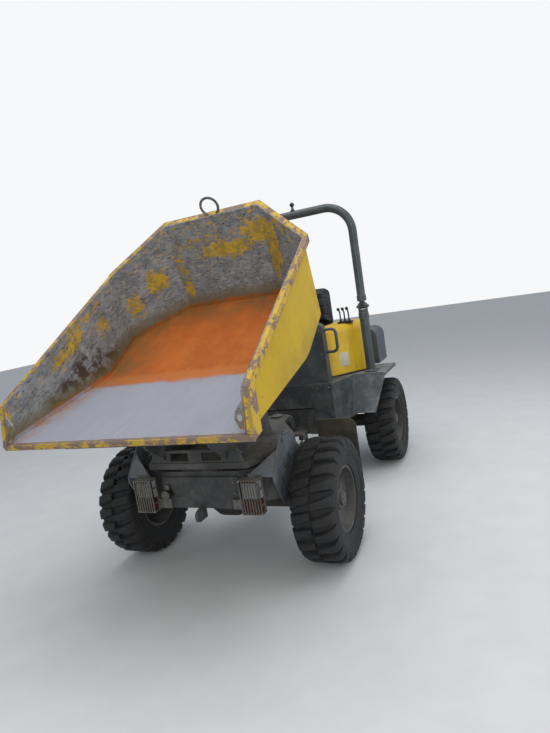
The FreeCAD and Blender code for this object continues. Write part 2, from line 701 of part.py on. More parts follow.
def ram_barrel():
    eye = rod("Ram_eye", "X", ("-25", 0, 0), "32", "50")
    neck = rod("Ram_neck", "Z", (0, 0, "20"), "22", "50")
    tube = rod("Ram_tube", "Z", (0, 0, "62"), "ram_barrel_radius", "ram_barrel_length - 62")
    bore = rod("Ram_bore", "Z", (0, 0, "90"), "ram_rod_radius + pin_gap", "ram_barrel_length")
    hole = rod("Ram_pin_hole", "X", ("-60", 0, 0), "ram_pin_radius + pin_gap", "120")
    return cut("Ram_barrel", cut("Ram_bored", joined("Ram_body", eye, neck, tube), bore), hole)


def ram_rod():
    shaft = rod("Ram_shaft", "Z", (0, 0, "%s - ram_rod_length" % RAM_REACH), "ram_rod_radius",
                "ram_rod_length")
    eye = rod("Ram_rod_eye", "X", ("-25", 0, RAM_REACH), "34", "50")
    return joined("Ram_rod", shaft, eye)


piece("tip_cylinder_barrel", ram_barrel(), RAM)
piece("tip_cylinder_rod", ram_rod(), RAM)


# Skip, level in its own frame


RAMP = "(atan((lip_z - bottom_z) / (bend_y - lip_y)) / 1deg)"
BACK_V = "(back_base_y * cos(back_lean) - bottom_z * sin(back_lean))"
TURN = "(atan(corner_depth / (skip_half - back_half)) / 1deg)"
CORNER_Y = "((%s - corner_depth + rim_z * sin(back_lean)) / cos(back_lean))" % BACK_V
BACK_Y = "((%s + back_rim_z * sin(back_lean)) / cos(back_lean))" % BACK_V
RIM_RISE = "((back_rim_z - rim_z) / (%s - %s))" % (BACK_Y, CORNER_Y)


def plan_prism(name, out):
    """The skip's plan outline, moved out by a distance and run along the leaning back."""
    body = doc.addObject("PartDesign::Body", name)
    outline = (
        ("skip_half + %s" % out, "lip_y - 600"),
        ("skip_half + %s" % out, "%s - corner_depth + %s * tan((90 - %s)/2)" % (BACK_V, out, TURN)),
        ("back_half + %s * tan(%s/2)" % (out, TURN), "%s + %s" % (BACK_V, out)),
    )
    sketch = profile(body, name + "_outline", "XY_Plane", both_sides(outline), "-500")
    sketch.setExpression("AttachmentOffset.Base.z", None)
    tie(sketch, "AttachmentOffset", "placement(vector(0; -500 * sin(back_lean); -500 * cos(back_lean));"
        " rotation(vector(1; 0; 0); -back_lean))")
    pad = body.newObject("PartDesign::Pad", name + "_pad")
    pad.Profile = sketch
    pad.Length = 2200
    return body


def side_profile(name, outline, half="skip_half + 100"):
    return plate(name, "YZ_Plane", outline, "-(%s)" % half, "2 * (%s)" % half)


def rim_line(shift):
    """Points of the rim line lowered by a shift, from behind the back to the front end."""
    far = "%s + 200" % BACK_Y
    return (
        (far, "back_rim_z + 200 * %s - %s" % (RIM_RISE, shift)),
        (CORNER_Y, "rim_z - %s" % shift),
    )


def skip_shell():
    """Open scoop of bent sheet: ramp, flat bottom, leaning back and chamfered corners."""
    outer_side = side_profile("Scoop_side", (
        ("lip_y", "lip_z"),
        ("bend_y", "bottom_z", "bend_radius"),
        ("%s + 200" % BACK_Y, "bottom_z"),
    ) + rim_line("0") + (("rim_front_y", "rim_z"),))
    lift = "skip_wall / cos(%s)" % RAMP
    inner_side = side_profile("Hollow_side", (
        ("lip_y - 200", "lip_z + %s + 200 * tan(%s)" % (lift, RAMP)),
        ("lip_y + (lip_z - bottom_z + %s - skip_wall) / tan(%s)" % (lift, RAMP), "bottom_z + skip_wall",
         "bend_radius - skip_wall"),
        ("%s + 250" % BACK_Y, "bottom_z + skip_wall"),
        ("%s + 250" % BACK_Y, "back_rim_z + 600"),
        ("lip_y - 200", "back_rim_z + 600"),
    ))
    outer = shared("Scoop_outer", plan_prism("Scoop_plan", "0"), outer_side)
    inner = shared("Scoop_inner", plan_prism("Hollow_plan", "(0 - skip_wall)"), inner_side)
    lug = corner_lug()
    return joined("Skip_shell", cut("Scoop", outer, inner), lug, mirrored("Lug_plate_right", lug))


def skip_rim():
    """Bar round the open edge, with the front posts, the lip bar and the corner lugs."""
    band = side_profile("Rim_band", rim_line("0") + (("rim_front_y", "rim_z"), ("rim_front_y", "rim_z - rim_depth"))
                        + tuple(reversed(rim_line("rim_depth"))), "skip_half + 200")
    hoop = cut("Rim_hoop", shared("Rim_blank", plan_prism("Rim_plan", "rim_width_out"), band),
               plan_prism("Rim_core", "fit_gap"))
    items = [hoop]
    for side, low in (("left", "skip_half + fit_gap"), ("right", "-(skip_half + rim_width_out)")):
        items.append(plate("Post_" + side, "YZ_Plane", (
            ("lip_y - 4", "lip_z - 30"),
            ("lip_y + 90", "lip_z - 62"),
            ("rim_front_y + 75", "rim_z - rim_depth + 2"),
            ("rim_front_y + 75", "rim_z"),
            ("rim_front_y", "rim_z"),
            ("lip_y - 4", "lip_z + 16"),
        ), low, "rim_width_out - fit_gap"))
    items.append(plate("Lip_bar", "YZ_Plane", (
        ("lip_y - lip_thickness", "lip_z - lip_depth + 14"),
        ("lip_y - fit_gap", "lip_z - lip_depth + 10"),
        ("lip_y - fit_gap", "lip_z + 10"),
        ("lip_y - lip_thickness", "lip_z + 14"),
    ), "-(skip_half + rim_width_out)", "2 * (skip_half + rim_width_out)"))
    return joined("Skip_rim", *items)


def corner_lug():
    """Eye plate across each front corner, flush with the sheet's slanted end."""
    body = plate("Lug_plate", "XZ_Plane", (
        ("skip_half - skip_wall", "14"),
        ("skip_half - skip_wall", "206"),
        ("skip_half - 64", "140", "14"),
        ("skip_half - 72", "92", "14"),
        ("skip_half - 30", "14"),
    ), "0", "12", (("skip_half - 42", "100", "20"),))
    tie(body, "Placement", "placement(vector(0; lip_y; lip_z); rotation(vector(1; 0; 0);"
        " 0 - atan((rim_front_y - lip_y) / (rim_z - lip_z)) / 1deg))")
    return body


def skip_frame():
    """Two double-plate beams under the skip with the hinge and the cylinder lugs."""
    items = []
    floor_at = "(lip_z - (%s - lip_y) * tan(" + RAMP + "))"
    for side in (1, -1):
        for number in (1, -1):
            middle = "%d * beam_half + %d * (beam_gap/2 + beam_plate/2)" % (side, side * number)
            name = "Beam_%s_%s" % ("left" if side > 0 else "right", "out" if number > 0 else "in")
            items.append(plate(name, "YZ_Plane", (
                ("lip_y + 48", floor_at % "lip_y + 48" + " - fit_gap"),
                ("lip_y + 48", floor_at % "lip_y + 48" + " - 50"),
                ("lip_y + 130", floor_at % "lip_y + 130" + " - 60"),
                ("-48", "-48", "46"),
                ("48", "-48", "46"),
                ("330", "bottom_z - beam_depth"),
                ("back_base_y - 260", "bottom_z - beam_depth"),
                ("back_base_y - 130", "bottom_z - fit_gap"),
                ("bend_y", "bottom_z - fit_gap", "bend_radius + fit_gap"),
            ), "%s - beam_plate/2" % middle, "beam_plate"))
    inner = "beam_half - beam_gap/2 - beam_plate"
    items.append(rod("Hinge_tube", "X", ("-(%s)" % inner, 0, 0), "36", "2 * (%s)" % inner))
    outer = "beam_half + beam_gap/2 + beam_plate"
    for side, at in (("left", inner), ("right", "-(%s) - 12" % outer)):
        items.append(rod("Hinge_pin_" + side, "X", (at, 0, 0), "hinge_pin_radius",
                         "beam_gap + 2 * beam_plate + 12"))
    for side, low in (("left", "31"), ("right", "-43")):
        items.append(plate("Eye_lug_" + side, "YZ_Plane", (
            ("eye_y - 120", floor_at % "eye_y - 120" + " - fit_gap"),
            ("eye_y - 40", "eye_z - 40", "38"),
            ("eye_y + 40", "eye_z - 40", "38"),
            ("eye_y + 150", floor_at % "eye_y + 150" + " - 30"),
            ("eye_y + 150", floor_at % "eye_y + 150" + " - fit_gap"),
        ), low, "12"))
    web_y = "lip_y + 44"
    items.append(plate("Lip_web", "XZ_Plane", both_sides((
        ("skip_half - 60", floor_at % web_y + " - fit_gap - 2.8"),
        ("skip_half - 420", floor_at % web_y + " - web_depth"),
    )), web_y, "8"))
    items.append(box("Eye_cross", ("-(%s)" % inner, inner), ("eye_y + 130", "eye_y + 142"),
                     (floor_at % "eye_y + 142" + " - 80", floor_at % "eye_y + 142" + " - 4")))
    return joined("Skip_frame", *items)


def lifting_ring(rim):
    """Round eye on the middle of the back rim."""
    ring = doc.addObject("Part::Torus", "Ring_round")
    ring.Placement = turned(V(1, 0, 0), 90)
    tie(ring, "Radius1", "lifting_radius")
    tie(ring, "Radius2", "ring_bar")
    put(ring, "30", "%s + 18" % BACK_Y, "back_rim_z + lifting_radius - 10")
    return cut("Ring_seated", ring, rim)


piece("skip_shell", skip_shell(), SKIP)
rim_bar = skip_rim()
piece("skip_rim", held("Skip_rim_held", rim_bar), SKIP)
piece("skip_frame", skip_frame(), SKIP)
piece("lifting_ring", lifting_ring(rim_bar), SKIP)


# Middle joint


def pivot_block():
    """Steering pin and oscillation shaft in one casting, with the arm for the steering rod."""
    hub = rod("Pivot_hub", "Z", (0, "pivot_y", "frame_bottom + 36"), "84", "frame_top - frame_bottom - 72")
    pin = rod("Pivot_pin", "Z", (0, "pivot_y", "frame_bottom - 12"), "pivot_pin_radius",
              "frame_top - frame_bottom + 24")
    shaft = rod("Swing_shaft", "Y", (0, "pivot_y", "pivot_z"), "swing_shaft_radius", "rear_front_y - pivot_y - 4")
    beam = plate("Pivot_beam", "XY_Plane", (
        ("0", "pivot_y - 50"),
        ("steer_eye_x + 36", "steer_eye_y - 36", "34"),
        ("steer_eye_x + 36", "steer_eye_y + 76"),
        ("steer_eye_x - 36", "steer_eye_y + 76"),
        ("0", "pivot_y + 70"),
    ), "frame_bottom + 36", "24")
    arm = plate("Pivot_arm", "XY_Plane", (
        ("steer_eye_x - 36", "steer_eye_y - 36", "34"),
        ("steer_eye_x + 36", "steer_eye_y - 36", "34"),
        ("steer_eye_x + 36", "steer_eye_y + 76"),
        ("steer_eye_x - 36", "steer_eye_y + 76"),
    ), "steer_z + 26", "frame_bottom + 60 - steer_z - 26")
    low = plate("Pivot_lug", "XY_Plane", (
        ("steer_eye_x - 36", "steer_eye_y - 36", "34"),
        ("steer_eye_x + 36", "steer_eye_y - 36", "34"),
        ("steer_eye_x + 36", "steer_eye_y + 76"),
        ("steer_eye_x - 36", "steer_eye_y + 76"),
    ), "steer_z - 46", "20")
    web = box("Pivot_web", ("steer_eye_x - 36", "steer_eye_x + 36"), ("steer_eye_y + 64", "steer_eye_y + 76"),
              ("steer_z - 40", "frame_bottom + 60"))
    return joined("Pivot_block", hub, pin, shaft, beam, arm, low, web)


piece("pivot_block", pivot_block())
STEER_LEAN = "(atan((steer_base_x - steer_eye_x) / (steer_eye_y - steer_base_y)) / 1deg)"
STEER_REACH = "sqrt((steer_base_x - steer_eye_x)^2 + (steer_eye_y - steer_base_y)^2)"
STEER = ("placement(vector(steer_base_x; steer_base_y - middle_y; steer_z + %s);"
         " rotation(vector(0; 0; 1); %s))" % (LIFT, STEER_LEAN))


def steer_barrel():
    eye = rod("Steer_eye", "Z", (0, 0, "-20"), "26", "40")
    tube = rod("Steer_tube", "Y", (0, "20", 0), "steer_barrel_radius", "steer_barrel_length - 20")
    bore = rod("Steer_bore", "Y", (0, "50", 0), "steer_rod_radius + pin_gap", "steer_barrel_length")
    hole = rod("Steer_pin_hole", "Z", (0, 0, "-60"), "steer_pin_radius + pin_gap", "120")
    return cut("Steer_barrel", cut("Steer_bored", joined("Steer_body", eye, tube), bore), hole)


def steer_rod():
    shaft = rod("Steer_shaft", "Y", (0, "%s - 420" % STEER_REACH, 0), "steer_rod_radius", "420")
    eye = rod("Steer_rod_eye", "Z", (0, STEER_REACH, "-20"), "26", "40")
    return joined("Steer_rod", shaft, eye)


piece("steer_cylinder_barrel", steer_barrel(), STEER)
piece("steer_cylinder_rod", steer_rod(), STEER)


# Rear chassis


def rear_frame():
    """Two rails with cross plates, the oscillation bearing in front and the hitch behind."""
    items = []
    for side, low in (("left", "rail_half - rail_width/2"), ("right", "-rail_half - rail_width/2")):
        items.append(box("Rail_" + side, (low, low + " + rail_width"), ("rear_front_y", "rear_end_y"),
                         ("frame_bottom", "rail_top")))
    across = "rail_half + rail_width/2"
    seat = "rear_front_y + deck_sheet + fit_gap"
    items.append(box("Front_cross", ("-(%s) - 60" % across, across + " + 60"), (seat, seat + " + 20"),
                     ("frame_bottom", "rail_top + 90")))
    for side, low in (("left", "rail_half - rail_width/2"), ("right", "-rail_half - rail_width/2")):
        items.append(box("Deck_post_" + side, (low, low + " + rail_width"),
                         ("rear_end_y - 190", "rear_end_y - 130"), ("rail_top - 10", "deck_z - deck_sheet - fit_gap")))
    items.append(box("Rear_cross", ("-(%s)" % across, across), ("rear_end_y - 24", "rear_end_y"),
                     ("frame_bottom", "rail_top")))
    housing = rod("Swing_housing", "Y", (0, "rear_front_y - 120", "pivot_z"), "swing_shaft_radius + 36", "130")
    bore = rod("Swing_bore", "Y", (0, "rear_front_y - 130", "pivot_z"), "swing_shaft_radius + pin_gap", "130")
    for name, low in (("Low_hitch", "frame_bottom"), ("High_hitch", "frame_bottom + 75")):
        items.append(plate(name, "XY_Plane", (
            ("-60", "rear_end_y - 4"),
            ("60", "rear_end_y - 4"),
            ("40", "rear_end_y + 144", "34"),
            ("-40", "rear_end_y + 144", "34"),
        ), low, "16", (("0", "rear_end_y + 104", "14"),)))
    items.append(plate("Counterweight", "XY_Plane", both_sides((
        ("620", "rear_end_y - 60"),
        ("620", "rear_end_y + 70", "40"),
    )), "rail_top", "deck_z - rail_top - 30"))
    return cut("Rear_frame", joined("Rear_frame_body", housing, *items), bore)


DECK_OUTLINE = (
    ("rear_half", "rear_front_y"),
    ("body_half", "step_y"),
    ("body_half", "rear_end_y - 100"),
)


def platform():
    """Deck with folded skirts, open below and under the hood."""
    outer = plate("Deck_block", "XY_Plane", both_sides(DECK_OUTLINE), "deck_bottom", "deck_z - deck_bottom")
    inner = plate("Deck_hollow", "XY_Plane", both_sides((
        ("rear_half", "rear_front_y + deck_sheet"),
        ("body_half", "step_y"),
        ("body_half", "rear_end_y - 100 - deck_sheet"),
    ), "deck_sheet * 1.05"), "deck_bottom - 10", "deck_z - deck_bottom - deck_sheet + 10")
    bay = box("Deck_bay", ("-420", "420"), ("seat_bay_y + 60", "rear_end_y - 200"),
              ("deck_z - 50", "deck_z + 50"))
    throat = box("Deck_throat", ("-330", "330"), ("rear_front_y - 20", "rear_front_y + 60"),
                 ("deck_bottom - 20", "rail_top + 110"))
    tail = box("Deck_tail", ("-330", "330"), ("rear_end_y - 130", "rear_end_y - 60"),
               ("deck_bottom - 20", "rail_top + 5"))
    return cut("Platform", cut("Deck_shell", outer, inner), joined("Deck_openings", bay, throat, tail))


def fender():
    """Sloped front, flat top and a short lip behind the tyre's crown."""
    strip = plate("Fender_strip", "YZ_Plane", (
        ("fender_front_y", "750"),
        ("step_y + 20", "deck_z"),
        ("fender_end_y", "deck_z"),
        ("fender_end_y + 60", "deck_z - 50"),
        ("fender_end_y + 54", "deck_z - 54"),
        ("fender_end_y - 2", "deck_z - deck_sheet"),
        ("step_y + 24", "deck_z - deck_sheet"),
        ("fender_front_y + 6", "748"),
    ), "body_half + fit_gap", "fender_half - body_half - fit_gap")
    flange = plate("Fender_flange", "YZ_Plane", (
        ("fender_front_y + 12", "750"),
        ("step_y + 22", "deck_z - 2"),
        ("fender_end_y", "deck_z - 2"),
        ("fender_end_y + 56", "deck_z - 50"),
        ("fender_end_y - 20", "deck_z - 52"),
        ("step_y + 60", "deck_z - 52"),
        ("fender_front_y + 70", "750"),
    ), "fender_half - deck_sheet", "deck_sheet")
    taper = plate("Fender_taper", "XZ_Plane", (
        ("body_half - 50", "700"),
        ("fender_half - 125", "700"),
        ("fender_half", "deck_z - 20"),
        ("fender_half", "deck_z + 60"),
        ("body_half - 50", "deck_z + 60"),
    ), "fender_front_y - 50", "1200")
    return shared("Fender_shape", joined("Fender_sheet", strip, flange), taper)


def cowl():
    """Dashboard cowl: front sheet with side flanges and a sloped top."""
    outline = (
        ("cowl_half", "deck_z"),
        ("cowl_half", "cowl_top - 45", "40"),
        ("cowl_half - 70", "cowl_top", "60"),
    )
    outer = plate("Cowl_block", "XZ_Plane", both_sides(outline), "rear_front_y", "cowl_depth")
    inner = plate("Cowl_hollow", "XZ_Plane", both_sides(outline, "deck_sheet"), "rear_front_y + deck_sheet",
                  "cowl_depth")
    lower = box("Cowl_roof", ("-cowl_half - 10", "cowl_half + 10"),
                ("rear_front_y + deck_sheet", "rear_front_y + 200"), ("cowl_top - deck_sheet", "cowl_top + 10"))
    hollow = cut("Cowl_inside", inner, lower)
    return cut("Cowl", outer, hollow)


def steering_wheel():
    """Wheel on its leaning column, held by a bracket inside the cowl."""
    lean = turned(V(1, 0, 0), -20)
    items = []
    for name, kind, sizes in (
        ("Wheel_rim", "Part::Torus", (("Radius1", "178"), ("Radius2", "14"))),
        ("Wheel_hub", "Part::Cylinder", (("Radius", "40"), ("Height", "24"))),
        ("Column", "Part::Cylinder", (("Radius", "28"), ("Height", "330"))),
    ):
        item = doc.addObject(kind, name)
        item.Placement = turned(V(1, 0, 0), 160) if name == "Column" else lean
        for prop, formula in sizes:
            tie(item, prop, formula)
        items.append(put(item, "seat_x", "wheel_y", "cowl_top + 60"))
    for number, angle in enumerate((90, 210, 330)):
        spoke = doc.addObject("Part::Cylinder", "Spoke_%d" % number)
        spoke.Placement = FreeCAD.Placement(V(0, 0, 0), FreeCAD.Rotation(V(1, 0, 0), -20).multiply(
            FreeCAD.Rotation(V(0, 0, 1), angle)).multiply(FreeCAD.Rotation(V(0, 1, 0), 90)))
        tie(spoke, "Radius", "9")
        tie(spoke, "Height", "178")
        items.append(put(spoke, "seat_x", "wheel_y", "cowl_top + 60"))
    items.append(box("Column_bracket", ("seat_x - 45", "seat_x + 45"),
                     ("rear_front_y + deck_sheet", "wheel_y - 60"), ("cowl_top - 240", "cowl_top - 180")))
    return joined("Steering_wheel", *items)


def levers():
    """Bank of three hooked levers on a small plinth."""
    plinth = box("Lever_plinth", ("560", "720"), ("1950", "2030"), ("hood_top", "hood_top + 20"))
    bars = [bent_bar("Lever_%d" % i, "YZ_Plane", "%d" % (590 + 48 * i),
                     (("1992", "hood_top + 10"), ("1992", "hood_top + 125", "16"), ("1960", "hood_top + 150")), "8")
            for i in range(3)]
    return joined("Levers", plinth, *bars)


piece("rear_frame", rear_frame())
piece("rear_axle", axle("Rear_axle", "wheelbase", "0 - nose_length - 20", "rail_half"))
piece("platform", platform())
fender_shape = fender()
piece("fender_left", held("Fender_left", fender_shape))
piece("fender_right", held("Fender_right", mirrored("Fender_mirror", fender_shape)))
piece("cowl", cowl())
piece("steering_wheel", steering_wheel())
engine_half = "(rail_half - rail_width/2 - fit_gap)"
piece("engine_block", box("Engine_block", ("-" + engine_half, engine_half), ("seat_bay_y + 80", "hood_end_y - 40"),
                          ("frame_bottom + 60", "seat_base_z - 100")))


def grab_handle():
    return bent_bar("Handle_left", "XZ_Plane", "rear_front_y + 50", (
        ("cowl_half", "cowl_top - 85"),
        ("cowl_half + 125", "cowl_top - 85", "50"),
        ("cowl_half + 125", "cowl_top - 320", "50"),
        ("cowl_half", "cowl_top - 320"),
    ), "16")


piece("grab_handles", pair("Grab_handles", grab_handle()))


def rear_cover():
    """Rounded rear housing with a louvred back, open in front behind the hood only."""
    front = amount("hood_end_y + 12")
    top = amount("cover_top")

    def upper(middle, extent):
        return middle.z > top - 20 and middle.y > front + 2

    outline = (("cover_half", "hood_end_y + 12"), ("cover_half", "cover_end_y", "cover_round + 20"))
    outer = plate("Cover_block", "XY_Plane", both_sides(outline), "deck_z", "cover_top - deck_z")
    rounded(outer, "Cover_round", "cover_round", upper)
    inner = plate("Cover_hollow", "XY_Plane", both_sides((
        ("cover_half", "hood_end_y + 20"), ("cover_half", "cover_end_y - 8", "cover_round + 12")), "8"),
        "deck_z + 8", "cover_top - deck_z - 16")
    top = amount("cover_top - 8")
    rounded(inner, "Hollow_round", "cover_round - 8",
            lambda middle, extent: middle.z > top - 20 and middle.y > front + 12)
    mouth = box("Cover_mouth", ("60 - hood_half", "hood_half - 60"), ("hood_end_y", "hood_end_y + 40"),
                ("deck_z + 60", "cover_top - 130"))
    inner = joined("Cover_room", inner, mouth)
    shell = cut("Cover_shell", outer, inner)
    slots = [box("Louvre_%d" % i, ("-420", "420"), ("cover_end_y - 30", "cover_end_y + 20"),
                 ("deck_z + %d" % (70 + 42 * i), "deck_z + %d" % (90 + 42 * i))) for i in range(7)]
    items = [cut("Cover_slotted", shell, joined("Louvres", *slots))]
    for side, sign in (("left", "1"), ("right", "-1")):
        for number, at in enumerate(("hinge_half - 35", "hinge_half + 25")):
            middle = "%s * (%s + 5)" % (sign, at)
            items.append(plate("Hinge_cheek_%s_%d" % (side, number), "YZ_Plane", (
                ("hood_end_y - 8", "hood_hinge_z - 14"),
                ("hood_end_y + 14", "cover_top - 4"),
                ("hood_end_y + 60", "cover_top - 4"),
                ("hood_end_y + 20", "hood_hinge_z + 14"),
                ("hood_end_y - 8", "hood_hinge_z + 14"),
            ), "%s - 5" % middle, "10"))
        items.append(rod("Hood_pin_" + side, "X", ("%s * hinge_half - 35" % sign, "hood_end_y + 6", "hood_hinge_z"),
                         "6", "70"))
    return joined("Rear_cover", *items)


piece("rear_cover", rear_cover())
tail = box("Tail_left_lamp", ("470", "600"), ("rear_end_y + 70 + fit_gap", "rear_end_y + 96"),
           ("rail_top + 120", "rail_top + 190"))
piece("tail_lamps", pair("Tail_lamps", tail))


def exhaust():
    return bent_bar("Exhaust", "XZ_Plane", "hood_end_y - 250", (
        ("-(rail_half - rail_width/2)", "rail_top + 60"),
        ("-420", "rail_top + 60", "60"),
        ("-420", "frame_bottom - 60"),
    ), "32")


piece("exhaust_pipe", exhaust())


def roll_bar_leg():
    leg = rod("Leg", "Z", ("bar_half", "bar_y", "deck_z"), "leg_radius", "bar_fold_z - 34 - deck_z")
    collar = rod("Leg_collar", "Z", ("bar_half", "bar_y", "bar_fold_z - 130"), "leg_radius + 6", "62")
    foot = box("Foot", ("bar_half - leg_radius", "bar_half + 82"), ("bar_y - 90", "bar_y + 90"),
               ("deck_z", "deck_z + 14"))
    cheeks = [plate("Cheek_%d" % i, "YZ_Plane", (
        ("bar_y - 38", "bar_fold_z - 120"),
        ("bar_y - 38", "bar_fold_z + 38", "36"),
        ("bar_y + 38", "bar_fold_z + 38", "36"),
        ("bar_y + 38", "bar_fold_z - 120"),
    ), low, "12", (("bar_y", "bar_fold_z", "12 + pin_gap"),)) for i, low in enumerate((
        "bar_half - 44", "bar_half + 32"))]
    return joined("Leg_left", leg, collar, foot, *cheeks)


piece("roll_bar_legs", pair("Roll_bar_legs", roll_bar_leg()))


def roll_hoop():
    """Upper hoop with flattened tongues on the folding pins."""
    hoop = bent_bar("Hoop", "XZ_Plane", "bar_y", (
        ("bar_half", "bar_fold_z + fold_clear"),
        ("bar_half", "bar_top", "bar_bend"),
        ("-bar_half", "bar_top", "bar_bend"),
        ("-bar_half", "bar_fold_z + fold_clear"),
    ), "bar_radius")
    items = [hoop]
    for side, sign in (("left", "1"), ("right", "-1")):
        middle = "%s * bar_half" % sign
        items.append(box("Tongue_" + side, (middle + " - 25", middle + " + 25"), ("bar_y - 28", "bar_y + 28"),
                         ("bar_fold_z", "bar_fold_z + fold_clear + 14")))
        items.append(rod("Tongue_end_" + side, "X", (middle + " - 25", "bar_y", "bar_fold_z"), "28", "50"))
        items.append(rod("Fold_pin_" + side, "X", (middle + " - 56", "bar_y", "bar_fold_z"), "12", "112"))
        items.append(rod("Hoop_collar_" + side, "Z", (middle, "bar_y", "bar_fold_z + fold_clear + 4"),
                         "bar_radius + 6", "58"))
    stalk = rod("Beacon_stalk", "Z", ("230", "bar_y", "bar_top"), "13", "100")
    knob = doc.addObject("Part::Sphere", "Beacon_knob")
    tie(knob, "Radius", "25")
    put(knob, "230", "bar_y", "bar_top + 112")
    return joined("Roll_hoop", stalk, knob, *items)


piece("roll_hoop", roll_hoop())


# Hood and seat


def hood():
    """One moulding over the engine: rounded corners and top edges, and a bay for the seat."""
    outline = (
        ("hood_nose_half", "hood_front_y", "hood_corner"),
        ("hood_half", "hood_corner_y", "hood_corner"),
        ("hood_half", "hood_end_y"),
    )
    inside = (
        ("hood_nose_half", "hood_front_y + hood_wall", "hood_corner - hood_wall"),
        ("hood_half", "hood_corner_y", "hood_corner - hood_wall"),
        ("hood_half", "hood_end_y + 20"),
    )
    outer = plate("Hood_block", "XY_Plane", both_sides(outline), "hood_bottom", "hood_top - hood_bottom")
    inner = plate("Hood_hollow", "XY_Plane", both_sides(inside, "hood_wall"), "hood_bottom - 10",
                  "hood_top - hood_bottom - hood_wall + 10")
    for body, name, top, end, radius in (
        (outer, "Hood_round", "hood_top", "hood_end_y", "hood_edge"),
        (inner, "Hood_hollow_round", "hood_top - hood_wall", "hood_end_y + 20", "hood_edge - hood_wall"),
    ):
        high, back = amount(top), amount(end)
        rounded(body, name, radius, lambda middle, extent: middle.z > high - 1 and middle.y < back - 1)
    bay_x = ("seat_x - seat_bay_half", "seat_x + seat_bay_half")
    bay = box("Seat_bay", bay_x, ("hood_front_y - 50", "hood_end_y + 50"), ("seat_base_z", "hood_top + 50"))
    foot_bay = box("Foot_bay", bay_x, ("hood_front_y - 50", "seat_bay_y"), ("hood_bottom - 50", "hood_top + 50"))
    lining = box("Seat_lining", ("seat_x - seat_bay_half - hood_wall", "seat_x + seat_bay_half + hood_wall"),
                 ("hood_front_y + 1", "hood_end_y"), ("seat_base_z - hood_wall", "hood_top"))
    front = box("Seat_riser", ("seat_x - seat_bay_half - hood_wall", "seat_x + seat_bay_half + hood_wall"),
                ("hood_front_y + 1", "seat_bay_y + hood_wall"), ("hood_bottom", "hood_top"))
    solid_bay = shared("Bay_block", outer, joined("Bay_linings", lining, front))
    skin = joined("Hood_skin", cut("Hood_shell", outer, inner), solid_bay)
    opened = cut("Hood_bay_cut", skin, joined("Bay_voids", bay, foot_bay))
    items = [opened]
    for side, sign in (("left", "1"), ("right", "-1")):
        middle = "%s * hinge_half" % sign
        arm = box("Knuckle_arm_" + side, (middle + " - 20", middle + " + 20"), ("hood_end_y - 40", "hood_end_y - 2"),
                  ("hood_hinge_z - 14", "hood_top - hood_wall/2"))
        eye = rod("Knuckle_eye_" + side, "X", (middle + " - 20", "hood_end_y + 6", "hood_hinge_z"), "14", "40")
        hole = rod("Knuckle_hole_" + side, "X", (middle + " - 30", "hood_end_y + 6", "hood_hinge_z"), "6 + pin_gap",
                   "60")
        items.append(cut("Knuckle_" + side, joined("Knuckle_body_" + side, arm, eye), hole))
    return joined("Hood", *items)


piece("hood", hood())
seat_y = ("seat_bay_y + 30", "hood_end_y + 10")
seat_span = ("seat_x - seat_half", "seat_x + seat_half")
piece("seat_base", box("Seat_base", ("seat_x - seat_half + 40", "seat_x + seat_half - 40"),
                       ("seat_bay_y + 60", "hood_end_y - 60"), ("seat_base_z", "seat_base_z + 70")))
piece("levers", levers())


def cushion(name, x, y, z, radius):
    """A box with rounded edges."""
    block = box(name + "_block", x, y, z)
    doc.recompute()
    item = doc.addObject("Part::Fillet", name)
    item.Base = block
    item.Edges = [(number, radius, radius) for number in range(1, 13)]
    return item


piece("seat_cushion", cushion("Seat_cushion", seat_span, seat_y,
                              ("seat_base_z + 70 + fit_gap", "seat_base_z + 180"), 30))
piece("seat_back", cushion("Seat_back", seat_span, ("hood_end_y - 100", "hood_end_y + 5"),
                           ("seat_base_z + 180 + 2 * fit_gap", "seat_base_z + 645"), 42))

doc.recompute()

# The origin stands on the ground under the middle of the machine's length
low_y = min(item.Shape.BoundBox.YMin for item in PARTS.values())
high_y = max(item.Shape.BoundBox.YMax for item in PARTS.values())
sheet.set("A%d" % (len(SIZES) + 1), str(round((low_y + high_y) / 2, 3)))
doc.recompute()

for item in doc.Objects:
    bad = [state for state in item.State if state in ("Invalid", "Error")]
    if bad:
        raise RuntimeError("%s is %s" % (item.Name, bad))
for label, item in PARTS.items():
    if item.Shape.isNull() or not item.Shape.isValid():
        raise RuntimeError("%s has no valid shape" % label)

os.makedirs("parts", exist_ok=True)
for label, item in PARTS.items():
    item.Shape.exportStep("parts/%s.step" % label)
print("middle_y", amount("middle_y"))
print(len(PARTS), "sub-parts")
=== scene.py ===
# %% [markdown]
# A site dumper is a small truck with its load in front. The skip swivels on a slew ring and tips
# forward, the frame bends in the middle to steer, and the driver sits behind, under a folding bar.
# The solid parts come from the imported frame, in metres. This script gives them their worn finishes,
# and adds what a solid model leaves out: tread, welds, bolts, cloth, lamps and dust.

# %% Load the frame and keep its box
import json
import math
import random

import bpy
from mathutils import Euler, Matrix, Vector


